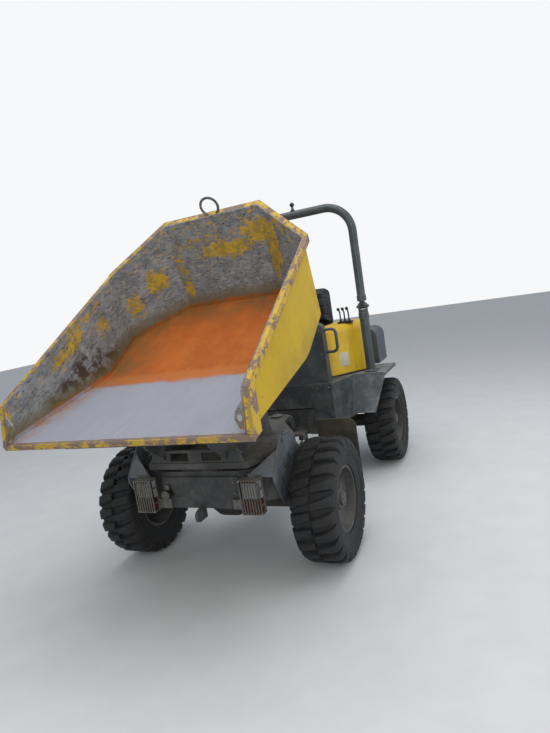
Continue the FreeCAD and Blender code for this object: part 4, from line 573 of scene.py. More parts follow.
# %% Finishes on the solid parts
NODE_FINISH = {
    "skip_sheet": ("skip_shell",),
    "rim_yellow": ("skip_rim",),
    "chassis_grey": ("skip_frame", "front_frame", "rear_frame"),
    "table_grey": ("turntable",),
    "skirt_dark": ("platform",),
    "cover_blue_grey": ("rear_cover",),
    "guard_steel": ("lifting_ring", "lamp_guards"),
    "lamp_clear": ("head_lamps",),
    "lamp_orange": ("front_markers",),
    "lamp_red": ("tail_lamps",),
    "axle_cast": ("front_axle", "rear_axle", "pivot_block", "slew_ring", "engine_block"),
    "flap_olive": ("mud_plates",),
    "panel_dark": ("cowl", "grab_handles", "tip_cylinder_barrel", "steer_cylinder_barrel"),
    "deck_grey": ("fender_left", "fender_right"),
    "chrome_rod": ("tip_cylinder_rod", "steer_cylinder_rod"),
    "black_plastic": ("horn", "steering_wheel", "seat_base", "levers"),
    "exhaust_rust": ("exhaust_pipe",),
    "bar_green_grey": ("roll_bar_legs", "roll_hoop"),
    "hood_yellow": ("hood",),
    "seat_vinyl": ("seat_cushion", "seat_back"),
    "rubber": tuple("tyre_" + w for w in ("front_left", "front_right", "rear_left", "rear_right")),
    "wheel_grey": tuple("rim_" + w for w in ("front_left", "front_right", "rear_left", "rear_right")),
}
for finish, names in NODE_FINISH.items():
    for name in names:
        slots = NODES[name].data.materials
        slots.clear()
        slots.append(FINISHES[finish])
finished = {name for names in NODE_FINISH.values() for name in names}
print("without a finish:", sorted(set(NODES) - finished))

# %% [markdown]
# The fitter's small parts come next. They are all made with the same few moves: a box with
# rounded edges, a round bar, an outline spun about an axis, a pipe along a curve, and a bolt that
# is modelled once and copied. A finished group is joined into one piece and rides on its body.

# %% Helpers for modelled pieces


def at(x, y, z):
    """A place in metres: y is measured back from the front axle."""
    return Vector((x, FRONT + y, z))


def on_skip(x, y, z):
    """A place in the skip's level frame, measured from its hinge."""
    return Vector(TIP) + Matrix.Rotation(TILT, 3, "X") @ Vector((x, y, z))


def fresh():
    if bpy.context.object and bpy.context.object.mode != "OBJECT":
        bpy.ops.object.mode_set(mode="OBJECT")
    bpy.ops.object.select_all(action="DESELECT")


def apply_all(item):
    """Puts the item's place in its mesh and applies its modifiers."""
    fresh()
    item.select_set(True)
    bpy.context.view_layer.objects.active = item
    bpy.ops.object.transform_apply(location=True, rotation=True, scale=True)
    for modifier in list(item.modifiers):
        bpy.ops.object.modifier_apply(modifier=modifier.name)
    return item


def softened(item, width, segments=2, angle=30):
    bevel = item.modifiers.new("soft_edges", "BEVEL")
    bevel.width = width
    bevel.segments = segments
    bevel.limit_method = "ANGLE"
    bevel.angle_limit = math.radians(angle)
    return apply_all(item)


def block(low, high, soft=0.003, turn=None):
    """A box with rounded edges between two corners, turned about its middle."""
    low, high = Vector(low), Vector(high)
    fresh()
    bpy.ops.mesh.primitive_cube_add(size=1)
    item = bpy.context.object
    item.scale = [abs(c) for c in high - low]
    bpy.ops.object.transform_apply(location=False, rotation=False, scale=True)
    softened(item, soft)
    item.matrix_world = Matrix.Translation((low + high) / 2) @ (turn or Matrix.Identity(3)).to_4x4()
    return apply_all(item)


def bar(start, end, radius, sides=28, soft=0.0015):
    """A round bar between two places."""
    start, end = Vector(start), Vector(end)
    fresh()
    bpy.ops.mesh.primitive_cylinder_add(vertices=sides, radius=radius, depth=(end - start).length)
    item = softened(bpy.context.object, min(soft, radius * 0.4))
    turn = (end - start).to_track_quat("Z", "Y").to_matrix().to_4x4()
    item.matrix_world = Matrix.Translation((start + end) / 2) @ turn
    return apply_all(item)


def drawn_line(points):
    """A chain of edges through the points, extruded from a single corner."""
    fresh()
    bpy.ops.mesh.primitive_plane_add(size=0.001)
    item = bpy.context.object
    bpy.ops.object.mode_set(mode="EDIT")
    bpy.ops.mesh.select_all(action="SELECT")
    bpy.ops.mesh.merge(type="CENTER")
    bpy.ops.transform.translate(value=points[0])
    for here, there in zip(points, points[1:]):
        bpy.ops.mesh.extrude_region_move(TRANSFORM_OT_translate={"value": Vector(there) - Vector(here)})
    bpy.ops.object.mode_set(mode="OBJECT")
    return item


def spun(profile, place, toward, steps=48):
    """(along, radius) points turned about an axis that starts at a place and looks towards a direction."""
    item = drawn_line([(radius, 0, along) for along, radius in profile])
    screw = item.modifiers.new("lathe", "SCREW")
    screw.steps = screw.render_steps = steps
    screw.use_merge_vertices = True
    screw.merge_threshold = 1e-5
    apply_all(item)
    bpy.ops.object.mode_set(mode="EDIT")
    bpy.ops.mesh.select_all(action="SELECT")
    bpy.ops.mesh.remove_doubles(threshold=1e-6)
    bpy.ops.mesh.normals_make_consistent(inside=False)
    bpy.ops.object.mode_set(mode="OBJECT")
    turn = Vector(toward).to_track_quat("Z", "Y").to_matrix().to_4x4()
    item.matrix_world = Matrix.Translation(Vector(place)) @ turn
    return apply_all(item)


def plate(outline, thick, soft=0.002, segments=1):
    """A flat plate: an outline of places in one plane, filled, then drawn out."""
    item = drawn_line([Vector(p) for p in outline] + [Vector(outline[0])])
    bpy.ops.object.mode_set(mode="EDIT")
    bpy.ops.mesh.select_all(action="SELECT")
    bpy.ops.mesh.remove_doubles(threshold=1e-5)
    bpy.ops.mesh.select_all(action="SELECT")
    bpy.ops.mesh.edge_face_add()
    bpy.ops.mesh.extrude_region_move(TRANSFORM_OT_translate={"value": Vector(thick)})
    bpy.ops.mesh.select_all(action="SELECT")
    bpy.ops.mesh.normals_make_consistent(inside=False)
    bpy.ops.object.mode_set(mode="OBJECT")
    return softened(item, soft, segments) if soft else item


def pipe(points, radius, sides=5):
    """A rigid pipe or a weld bead along a smooth curve through a few places."""
    fresh()
    curve = bpy.data.curves.new("pipe", "CURVE")
    curve.dimensions = "3D"
    curve.bevel_depth = radius
    curve.bevel_resolution = sides
    curve.use_fill_caps = True
    run = curve.splines.new("NURBS")
    run.points.add(len(points) - 1)
    for point, place in zip(run.points, points):
        point.co = (*place, 1)
    run.use_endpoint_u = True
    run.order_u = 3 if len(points) > 2 else 2
    item = bpy.data.objects.new("pipe", curve)
    bpy.context.scene.collection.objects.link(item)
    item.select_set(True)
    bpy.context.view_layer.objects.active = item
    bpy.ops.object.convert(target="MESH")
    return bpy.context.object


def gather(name, items, body, finish, angle=35):
    """Joins the items into one named piece with a finish, riding on a body."""
    fresh()
    for item in items:
        item.select_set(True)
    bpy.context.view_layer.objects.active = items[0]
    if len(items) > 1:
        bpy.ops.object.join()
    piece = bpy.context.object
    piece.name = piece.data.name = name
    bpy.ops.object.shade_smooth_by_angle(angle=math.radians(angle))
    piece.data.materials.clear()
    piece.data.materials.append(FINISHES[finish])
    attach(piece, body)
    return piece


def bolt_master():
    """A hexagon head on its washer, one unit across the thread, standing on Z = 0."""
    fresh()
    bpy.ops.mesh.primitive_cylinder_add(vertices=6, radius=0.92, depth=0.62, location=(0, 0, 0.46))
    head = softened(bpy.context.object, 0.09, 1, 80)
    bpy.ops.mesh.primitive_cylinder_add(vertices=16, radius=1.15, depth=0.16, location=(0, 0, 0.07))
    washer = bpy.context.object
    fresh()
    head.select_set(True)
    washer.select_set(True)
    bpy.context.view_layer.objects.active = head
    bpy.ops.object.join()
    apply_all(head)
    head.name = "bolt_master"
    return head


BOLT = bolt_master()


def bolts(places, size):
    """Copies of the bolt at (place, direction) pairs, each with its own mesh."""
    made = []
    for number, (place, toward) in enumerate(places):
        item = BOLT.copy()
        item.data = BOLT.data.copy()
        bpy.context.scene.collection.objects.link(item)
        turn = Vector(toward).to_track_quat("Z", "Y").to_matrix().to_4x4()
        spin = Matrix.Rotation(0.7 * number, 4, "Z")
        item.matrix_world = Matrix.Translation(Vector(place)) @ turn @ spin @ Matrix.Scale(size, 4)
        made.append(apply_all(item))
    return made


def ring_of(count, radius, centre, axis="X", start=0.0):
    """Places on a circle about an axis through a centre."""
    places = []
    for i in range(count):
        a = start + 2 * math.pi * i / count
        offset = {"X": (0, math.cos(a), math.sin(a)), "Y": (math.cos(a), 0, math.sin(a)),
                  "Z": (math.cos(a), math.sin(a), 0)}[axis]
        places.append(Vector(centre) + radius * Vector(offset))
    return places


print("bolt faces", len(BOLT.data.polygons))

# %% [markdown]
# Each wheel gets eight nuts on their studs, a hub cap with small bolts and a weld round the disc.
# The tyre is lathed with its sidewall ribs and carries two staggered rows of tread bars. One bar is
# modelled and copied round the tyre, and the finished tyre is copied to the four wheels.

# %% Wheels: tyres, nuts, hub caps and welds
SIDEWALL = ((0.1500, 0.290), (0.1528, 0.293), (0.1545, 0.301), (0.1535, 0.306), (0.1570, 0.324), (0.1608, 0.340),
            (0.1632, 0.3405), (0.1640, 0.3455), (0.1628, 0.3465), (0.1668, 0.364), (0.1692, 0.3650), (0.1708, 0.371),
            (0.1708, 0.3765), (0.1694, 0.3815), (0.1686, 0.3825), (0.1680, 0.3935), (0.1690, 0.3950), (0.1684, 0.4000),
            (0.1660, 0.4015), (0.1640, 0.4085))
BEAD = ((0.1280, 0.258), (0.1460, 0.262), (0.1495, 0.272))
CROWN = ((0.1600, 0.4250), (0.1500, 0.4380), (0.1200, 0.4470), (0.0600, 0.4505), (0.0, 0.4515))
BAR_OUTLINE = ((0.006, 0.449), (0.006, 0.4836), (0.108, 0.4836), (0.150, 0.4690), (0.1690, 0.4320),
               (0.1712, 0.4010), (0.1640, 0.3990), (0.1500, 0.4360), (0.100, 0.446))
HALF_TRACK = 0.885
BARS = 24


def tread_bar():
    """One bar from the middle over the shoulder: broader outwards and at its root, and aslant."""
    item = plate([(x, -0.5, z) for x, z in BAR_OUTLINE], (0, 1, 0), 0)
    for vertex in item.data.vertices:
        across, along, high = vertex.co
        half = 0.025 + 0.075 * across + (0.008 if high < 0.46 else 0.0)
        vertex.co.y = 2 * along * half + 0.26 * across
        vertex.co.z = math.sqrt(high ** 2 - vertex.co.y ** 2)
    return softened(item, 0.0035, 1)


def whole_tyre():
    """The carcass and both rows of bars, about the X axis at the origin."""
    half = BEAD + SIDEWALL + CROWN
    outline = half + tuple((-along, radius) for along, radius in half[-2::-1]) + half[:1]
    parts = [spun(outline, (0, 0, 0), (1, 0, 0), 96)]
    first = tread_bar()
    for row, sign in enumerate((1, -1)):
        for i in range(BARS):
            item = first.copy()
            item.data = first.data.copy()
            bpy.context.scene.collection.objects.link(item)
            angle = 2 * math.pi * (i + 0.5 * row) / BARS
            item.matrix_world = Matrix.Rotation(angle, 4, "X") @ Matrix.Diagonal((sign, sign, 1, 1))
            parts.append(apply_all(item))
    bpy.data.objects.remove(first)
    fresh()
    for item in parts:
        item.select_set(True)
    bpy.context.view_layer.objects.active = parts[0]
    bpy.ops.object.join()
    return parts[0]


TYRE = whole_tyre()
print("tyre faces", len(TYRE.data.polygons))
for axle, y in (("front", FRONT), ("rear", REAR)):
    for side, sign in (("left", 1), ("right", -1)):
        wheel = "%s_%s" % (axle, side)
        out = Vector((sign, 0, 0))
        centre = Vector((sign * HALF_TRACK, y, 0.485))
        nuts = bolts([(p, out) for p in ring_of(8, 0.118, centre + 0.049 * out)], 0.0165)
        studs = [bar(p, p + 0.024 * out, 0.0085, 12) for p in ring_of(8, 0.118, centre + 0.049 * out)]
        cap = spun(((0.0, 0.060), (0.012, 0.058), (0.016, 0.052), (0.016, 0.040), (0.020, 0.036), (0.020, 0.0)),
                   centre + 0.098 * out, out, 40)
        small = bolts([(p, out) for p in ring_of(6, 0.047, centre + 0.113 * out, "X", 0.3)], 0.0065)
        weld = spun(((0.0, 0.2085), (0.006, 0.2105), (0.008, 0.2155), (0.002, 0.221)), centre + 0.050 * out, out, 72)
        valve = bar(centre + 0.05 * out + Vector((0, 0.16, 0.11)), centre + 0.085 * out + Vector((0, 0.17, 0.117)),
                    0.005, 12)
        gather("wheel_nuts_" + wheel, nuts + studs + small, "wheel_" + wheel, "bright_steel")
        gather("hub_cap_" + wheel, [cap, weld, valve], "wheel_" + wheel, "wheel_grey")
        tyre = TYRE.copy()
        tyre.data = TYRE.data.copy()
        bpy.context.scene.collection.objects.link(tyre)
        tyre.matrix_world = Matrix.Translation(centre)
        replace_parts(gather("tread_" + wheel, [apply_all(tyre)], "wheel_" + wheel, "rubber"), "tyre_" + wheel)
bpy.data.objects.remove(TYRE)
print("wheels dressed")

# %% [markdown]
# The front: bolts on the plate, a ribbed face on the horn, frames round the lamps, bolted wing
# roots and the slew ring's ring of bolts. Two steel pipes feed the tip cylinder from the turntable.

# %% Front chassis and turntable
AHEAD = Vector((0, -1, 0))
UPWARD = Vector((0, 0, 1))
front_bolts = [(at(x, -0.4395, z), AHEAD) for x in (-0.30, 0.30) for z in (0.61, 0.70, 0.79)]
front_bolts += [(at(s * x, -0.459, z), AHEAD) for s in (1, -1) for x in (0.31, 0.36) for z in (0.60, 0.645)]
plate_hole = spun(((0.0, 0.011), (0.0015, 0.0115), (0.0015, 0.015), (0.0, 0.0155)), at(0.03, -0.4405, 0.79), AHEAD, 24)
gather("front_bolts", bolts(front_bolts, 0.010), "front_chassis", "guard_steel")
gather("plate_hole_rim", [plate_hole], "front_chassis", "chassis_grey")

horn_face = spun(((0.0, 0.035), (0.010, 0.037), (0.012, 0.034), (0.008, 0.031), (0.008, 0.027), (0.012, 0.024),
                  (0.008, 0.021), (0.008, 0.016), (0.012, 0.013), (0.008, 0.010), (0.006, 0.0)),
                 at(-0.29, -0.498, 0.705), AHEAD, 40)
horn_strap = block(at(-0.31, -0.47, 0.735), at(-0.27, -0.466, 0.775), 0.001)
gather("horn_face", [horn_face, horn_strap], "front_chassis", "guard_steel")

for side, sign in (("left", 1), ("right", -1)):
    frames = []
    for low, high in ((0.690, 0.820), (0.592, 0.684)):
        for x in (0.402, 0.535):
            frames.append(block(at(sign * x, -0.527, low - 0.001), at(sign * (x + 0.008), -0.500, high + 0.001), 0.002))
        for z in (low - 0.002, high - 0.006):
            frames.append(block(at(sign * 0.402, -0.527, z), at(sign * 0.543, -0.500, z + 0.008), 0.002))
    gather("lamp_frames_" + side, frames, "front_chassis", "black_plastic")
    corner = [(at(sign * x, -0.5385, z), AHEAD) for x in (0.397, 0.548) for z in (0.583, 0.832)]
    gather("guard_bolts_" + side, bolts(corner, 0.0055), "front_chassis", "bright_steel")
    seams = [pipe([at(sign * 0.34, -0.424, 0.858), at(sign * 0.64, -0.254, 0.858)], 0.005, 2),
             pipe([at(sign * 0.341, -0.4405, 0.59), at(sign * 0.341, -0.4405, 0.82)], 0.004, 2)]
    gather("frame_welds_" + side, seams, "front_chassis", "chassis_grey")

for side, sign in (("left", 1), ("right", -1)):
    upright = plate([at(sign * 0.645, y, z) for y, z in
                     ((-0.36, 0.60), (-0.47, 0.80), (-0.47, 0.846), (-0.285, 1.07), (-0.255, 1.09), (-0.15, 1.09),
                      (-0.10, 1.075), (0.12, 0.87), (0.12, 0.60))], (sign * 0.012, 0, 0))
    flange = plate([at(sign * x, y, 1.082) for x, y in ((0.645, -0.246), (0.689, -0.20), (0.689, -0.13), (0.645, -0.13))],
                   (0, 0, 0.008))
    gusset = plate([at(sign * x, y, z) for x, y, z in ((0.45, -0.46, 0.857), (0.646, -0.46, 0.857),
                                                       (0.646, -0.33, 1.006))], (0, 0.007, -0.006))
    spacers = [block(at(sign * 0.600, y - 0.03, z), at(sign * 0.646, y + 0.03, z + 0.08), 0.003)
               for y, z in ((-0.254, 0.62), (-0.254, 0.77))]
    foot = block(at(sign * 0.44, -0.4605, 0.835), at(sign * 0.646, -0.4535, 0.860), 0.002)
    wing_bolts = bolts([(at(sign * 0.657, y, z), (sign, 0, 0)) for y, z in ((-0.254, 0.66), (-0.254, 0.81))], 0.011)
    gather("wing_" + side, [upright, flange, gusset, foot] + spacers + wing_bolts, "front_chassis", "wing_grey")

slew_bolts = [(p, UPWARD) for p in ring_of(28, 0.452, at(0, 0, 0.9455), "Z") if abs(p.x) > 0.31 or p.y > FRONT + 0.36]
gather("slew_bolts", bolts([(p, u) for p, u in slew_bolts if p.y > FRONT - 0.40], 0.010), "turntable", "guard_steel")
wall_edge = pipe([at(-0.42, -0.4405, 1.02), at(-0.38, -0.4405, 1.047), at(0.38, -0.4405, 1.047),
                  at(0.42, -0.4405, 1.02)], 0.006, 3)
arm_seams = [pipe([at(s * 0.292, -0.395, 0.948), at(s * 0.292, 0.395, 0.948)], 0.005, 2) for s in (1, -1)]
gather("turntable_welds", [wall_edge] + arm_seams, "turntable", "table_grey")
feeds = [pipe([at(x, 0.330, 0.98), at(x, 0.300, 0.96), at(x, 0.200, 0.952), at(x * 1.3, 0.08, 0.953),
               at(x * 1.5, -0.02, 0.955)], 0.008, 4) for x in (0.075, 0.105)]
clamps = [block(at(0.065, 0.19, 0.944), at(0.115, 0.215, 0.963), 0.002)]
nipples = [spun(((0, 0.006), (0.006, 0.006), (0.007, 0.004), (0.013, 0.004), (0.016, 0.0)), place, toward, 12)
           for place, toward in ((at(0.29, -0.66, 1.2), AHEAD), (at(-0.29, -0.66, 1.2), AHEAD))]
gather("tip_feeds", feeds + clamps + nipples, "turntable", "bright_steel")
print("front dressed")

# %% [markdown]
# The skip's own joints: hinge pin caps with their keeper bolts, a weld bead round the rim and the
# lugs, and the two folded strips at each front post.

# %% Skip: seams, strips and pin caps
across_x = Vector((1, 0, 0))
caps, cap_bolts = [], []
for sign in (1, -1):
    centre = on_skip(sign * 0.3195, 0, 0)
    caps.append(spun(((0, 0.040), (0.006, 0.040), (0.008, 0.037), (0.008, 0.0)), centre, sign * across_x, 32))
    cap_bolts += [(p, sign * across_x) for p in ring_of(2, 0.026, centre + sign * 0.008 * across_x, "X", 0.5)]
gather("hinge_caps", caps + bolts(cap_bolts, 0.006), "skip", "guard_steel")

strips, beads = [], []
for sign in (1, -1):
    for inset, width in ((0.004, 0.020), (0.034, 0.016)):
        foot = on_skip(sign * 0.920, -0.456 + inset, 0.512)
        head = on_skip(sign * 0.920, -0.300 + inset, 0.712)
        along = (head - foot).normalized()
        turn = along.to_track_quat("Z", "X").to_matrix()
        middle = (foot + head) / 2
        half = Vector((0.003, width / 2, (head - foot).length / 2))
        strip = block(middle - half, middle + half, 0.002,
                      Matrix((across_x, along.cross(across_x), along)).transposed())
        strips.append(strip)
    beads.append(pipe([on_skip(sign * 0.927, -0.28, 0.678), on_skip(sign * 0.927, 1.17, 0.678)], 0.0035, 2))
    beads.append(pipe([on_skip(sign * 0.918, -0.462, 0.520), on_skip(sign * 0.918, -0.31, 0.708)], 0.003, 2))
beads.append(pipe([on_skip(-0.915, -0.459, 0.518), on_skip(0.915, -0.459, 0.518)], 0.003, 2))
gather("post_strips", strips, "skip", "rim_yellow")
gather("skip_welds", beads, "skip", "rim_yellow")
print("skip dressed")

# %% [markdown]
# Behind the joint: the platform's edge and its bolts, the dash with its dials, lever knobs and
# boots, the fold joint's bolts on the roll bar, the hood's seal, latches and blank label, and what
# shows of the engine when the hood is up.

# %% Platform, fenders and cowl
deck_bolts = [(at(s * 0.72, y, 1.1405), UPWARD) for s in (1, -1) for y in (1.86, 2.12, 2.36)]
deck_bolts += [(at(s * x, 1.4195, z), AHEAD) for s in (1, -1) for x in (0.40, 0.53) for z in (0.74, 1.09)]
gather("deck_bolts", bolts(deck_bolts, 0.0085), "rear_chassis", "bright_steel")
for side, sign in (("left", 1), ("right", -1)):
    lines = [pipe([at(sign * 0.6905, 1.80, 1.1405), at(sign * 0.6905, 2.86, 1.1405)], 0.0035, 2),
             pipe([at(sign * 0.70, 1.8015, 1.1415), at(sign * 1.02, 1.8015, 1.1415)], 0.0035, 2),
             pipe([at(sign * 0.562, 1.4195, 1.137), at(sign * 0.689, 1.78, 1.137)], 0.003, 2)]
    gather("deck_seams_" + side, lines, "rear_chassis", "deck_grey")
    treads = []
    for row in range(4):
        y = 1.50 + 0.065 * row
        treads.append(block(at(sign * 0.42, y, 1.1385), at(sign * (0.56 + 0.02 * row), y + 0.022, 1.1455), 0.002))
    gather("step_treads_" + side, treads, "rear_chassis", "guard_steel")
    flanges, screws = [], []
    for z in (1.46, 1.695):
        flanges.append(spun(((0, 0.034), (0.004, 0.034), (0.006, 0.030), (0.006, 0.012)),
                            at(sign * 0.5455, 1.47, z), (sign, 0, 0), 28))
        screws += [(at(sign * 0.5505, 1.47, z + dz), (sign, 0, 0)) for dz in (-0.024, 0.024)]
    gather("handle_flanges_" + side, flanges + bolts(screws, 0.0045), "rear_chassis", "panel_dark")

dash = [block(at(-0.34, 1.480, 1.585), at(0.505, 1.502, 1.760), 0.008)]
dials, faces = [], []
for x, radius in ((-0.20, 0.042), (-0.07, 0.042), (0.34, 0.030)):
    centre = at(x, 1.502, 1.690)
    dials.append(spun(((0, radius), (0.010, radius), (0.013, radius - 0.004), (0.010, radius - 0.008),
                       (0.004, radius - 0.009)), centre, (0, 1, 0), 36))
    faces.append(spun(((0.003, radius - 0.006), (0.004, radius - 0.010), (0.004, 0.004), (0.007, 0.0035),
                       (0.007, 0.0)), centre, (0, 1, 0), 36))
for i in range(5):
    x = 0.255 + 0.045 * i
    dials.append(block(at(x, 1.500, 1.620), at(x + 0.030, 1.512, 1.655), 0.004))
dials.append(spun(((0, 0.016), (0.008, 0.016), (0.010, 0.012), (0.022, 0.010), (0.022, 0.0)), at(-0.28, 1.502, 1.62),
                  (0, 1, 0), 20))
gather("dash_panel", dash, "rear_chassis", "black_plastic")
gather("dash_dials", dials, "rear_chassis", "grey_plastic")
gather("dial_faces", faces, "rear_chassis", "lamp_clear")
cowl_screws = [(at(s * x, 1.4195, z), AHEAD) for s in (1, -1) for x in (0.505,) for z in (1.20, 1.45, 1.70)]
gather("cowl_screws", bolts(cowl_screws, 0.006), "rear_chassis", "bright_steel")
cap_place = at(0.130, 1.600 - 0.026 * math.sin(math.radians(-20)), 1.840 + 0.026)
tilted = Vector((0, math.sin(math.radians(20)), math.cos(math.radians(20))))
horn_push = spun(((0, 0.032), (0.004, 0.032), (0.010, 0.026), (0.014, 0.014), (0.015, 0.0)),
                 at(0.130, 1.600, 1.840) + 0.024 * tilted, tilted, 32)
spinner = spun(((0, 0.010), (0.022, 0.010), (0.026, 0.018), (0.040, 0.022), (0.052, 0.018), (0.056, 0.0)),
               at(0.130, 1.600, 1.840) + 0.010 * tilted + 0.178 * Vector((-0.94, 0.34 * 0.94, -0.34 * 0.34)), tilted, 24)
gather("wheel_cap", [horn_push], "rear_chassis", "grey_plastic")
gather("wheel_spinner", [spinner], "rear_chassis", "black_plastic")
pedals = []
for x in (-0.02, 0.26):
    pedals.append(block(at(x, 1.575, 1.165), at(x + 0.075, 1.588, 1.275), 0.004, Matrix.Rotation(-0.6, 3, "X")))
    pedals.append(bar(at(x + 0.037, 1.530, 1.30), at(x + 0.037, 1.578, 1.22), 0.007, 12))
    pedals.append(bar(at(x + 0.037, 1.45, 1.33), at(x + 0.037, 1.532, 1.30), 0.007, 12))
gather("pedals", pedals, "rear_chassis", "black_plastic")
print("platform dressed")

# %% Levers, roll bar joints and beacon
knobs, boots = [], []
for i in range(3):
    x = 0.590 + 0.048 * i
    lean = Vector((0, -0.32, 0.25)).normalized()
    knobs.append(spun(((0, 0.009), (0.006, 0.013), (0.020, 0.0175), (0.034, 0.016), (0.042, 0.009), (0.044, 0.0)),
                      at(x, 1.966, 1.846), lean, 20))
    boots.append(spun(((0, 0.021), (0.004, 0.021), (0.008, 0.016), (0.012, 0.018), (0.016, 0.013), (0.020, 0.0145),
                       (0.026, 0.009)), at(x, 1.992, 1.7195), UPWARD, 20))
    boots.append(block(at(x - 0.012, 1.955, 1.7185), at(x + 0.012, 1.962, 1.726), 0.001))
gather("lever_knobs", knobs, "hood", "black_plastic")
gather("lever_boots", boots, "hood", "grey_plastic")

for side, sign in (("left", 1), ("right", -1)):
    ends = [(at(sign * 0.924, 1.950, 1.860), (sign, 0, 0)), (at(sign * 0.812, 1.950, 1.860), (-sign, 0, 0))]
    gather("fold_nuts_" + side, bolts(ends, 0.017), "roll_hoop", "bright_steel")
    feet = [(at(sign * x, y, 1.1545), UPWARD) for x in (0.838, 0.930) for y in (1.878, 2.022)]
    gather("foot_bolts_" + side, bolts(feet, 0.010), "rear_chassis", "bright_steel")
    weld = spun(((0, 0.060), (0.004, 0.058), (0.008, 0.052), (0.010, 0.0505)), at(sign * 0.868, 1.950, 1.1545),
                UPWARD, 40)
    lock = [pipe([at(sign * 0.868, 1.893, 1.775), at(sign * 0.868, 1.880, 1.772), at(sign * 0.868, 1.876, 1.750),
                  at(sign * 0.868, 1.880, 1.728), at(sign * 0.868, 1.893, 1.725)], 0.0035, 3)]
    gather("leg_welds_" + side, [weld] + lock, "rear_chassis", "bar_green_grey")
base = spun(((0, 0.030), (0.010, 0.028), (0.016, 0.020), (0.030, 0.0145)), at(0.230, 1.950, 3.004), UPWARD, 24)
ball = spun(((0, 0.0), (0.002, 0.012), (0.012, 0.0235), (0.025, 0.0268), (0.038, 0.0235), (0.048, 0.012), (0.050, 0.0)),
            at(0.230, 1.950, 3.0520), UPWARD, 28)
gather("beacon_dress", [base, ball], "roll_hoop", "black_plastic")
print("levers and bar dressed")

# %% Hood: seal, latches and blank label
seal_points = [at(x, y, 1.1495) for x, y in ((0.795, 2.448), (0.795, 2.12), (0.795, 2.052), (0.745, 1.992),
                                             (0.545, 1.762), (0.492, 1.706), (0.44, 1.703), (0.425, 1.703))]
mirror = Matrix.Diagonal((-1, 1, 1))
seal_right = [mirror @ p for p in seal_points[:-2]] + [at(-0.44, 1.703, 1.1495), at(-0.165, 1.703, 1.1495)]
gather("hood_seal", [pipe(seal_points, 0.010, 4), pipe(seal_right, 0.010, 4)], "hood", "black_plastic")
for side, sign in (("left", 1), ("right", -1)):
    plate_low = at(sign * 0.7995, 2.215, 1.205)
    plate_high = at(sign * 0.8045, 2.255, 1.300)
    latch = [block(plate_low, plate_high, 0.0018),
             bar(at(sign * 0.809, 2.222, 1.29), at(sign * 0.809, 2.248, 1.29), 0.006, 16),
             block(at(sign * 0.8045, 2.227, 1.185), at(sign * 0.811, 2.243, 1.288), 0.002)]
    gather("hood_latch_" + side, latch, "hood", "black_plastic")

nose = Vector((0.35, 0.31, 0)).normalized()
nose_out = Vector((nose.y, -nose.x, 0))
turn = Matrix((nose, UPWARD, nose_out)).transposed()
centre = at(0.590, 1.812, 1.318) + 0.0008 * nose_out
label_half = Vector((0.088, 0.076, 0.0010))
label = block(centre - label_half, centre + label_half, 0.0006, turn)
gather("blank_label", [label], "hood", "label_grey")
print("hood dressed")

# %% [markdown]
# The seat is two padded pieces. Each starts as a slightly small block, is remeshed fine, and then
# swells under cloth pressure while its flat side is held. The sewn channels are pressed in after
# that, and a piping runs round the edge.

# %% Seat: cloth-filled cushion and back


def swollen(name, low, high, held_axis, held_low, voxel=0.0075, swell=0.020):
    """A padded block blown up by cloth pressure, with its flat side held."""
    item = block(low, high, 0.030)
    fresh()
    item.select_set(True)
    bpy.context.view_layer.objects.active = item
    remesh = item.modifiers.new("fine", "REMESH")
    remesh.mode = "VOXEL"
    remesh.voxel_size = voxel
    bpy.ops.object.modifier_apply(modifier="fine")
    before = [v.co.copy() for v in item.data.vertices]
    flat = held_low if held_low is not None else 0
    group = item.vertex_groups.new(name="held")
    held = [v.index for v in item.data.vertices if (v.co[held_axis] - flat) * (1 if held_axis == 2 else -1) < 0.012]
    group.add(held, 1.0, "ADD")
    cloth = item.modifiers.new("stuffing", "CLOTH")
    cloth.settings.vertex_group_mass = "held"
    cloth.settings.use_pressure = True
    cloth.settings.uniform_pressure_force = 4.0
    cloth.settings.effector_weights.gravity = 0.0
    cloth.settings.quality = 5
    cloth.settings.tension_stiffness = 18
    cloth.settings.bending_stiffness = 0.6
    cloth.collision_settings.use_collision = False
    cloth.point_cache.frame_start, cloth.point_cache.frame_end = 1, 20
    for number in range(1, 21):
        bpy.context.scene.frame_set(number)
    fresh()
    item.select_set(True)
    bpy.context.view_layer.objects.active = item
    bpy.ops.object.modifier_apply(modifier="stuffing")
    bpy.context.scene.frame_set(1)
    for vertex, start in zip(item.data.vertices, before):
        move = vertex.co - start
        if move.length > swell:
            vertex.co = start + move * (swell / move.length)
    item.name = name
    return item


def sewn(item, axis, lines, depth, width, front_axis, front_sign, front_at):
    """Presses seams into the crowned face along lines of a constant coordinate."""
    for vertex in item.data.vertices:
        near = min(abs(vertex.co[axis] - line) for line in lines)
        face = (vertex.co[front_axis] - front_at) * front_sign
        if near < width * 3 and face > 0:
            press = depth * math.exp(-((near / width) ** 2)) * min(1.0, face / 0.02)
            vertex.co[front_axis] -= front_sign * press
    return item


def cushion_skin(item, body, name):
    smooth = item.modifiers.new("smooth", "SUBSURF")
    smooth.levels = smooth.render_levels = 1
    apply_all(item)
    piece = gather(name, [item], body, "seat_vinyl", 70)
    return piece


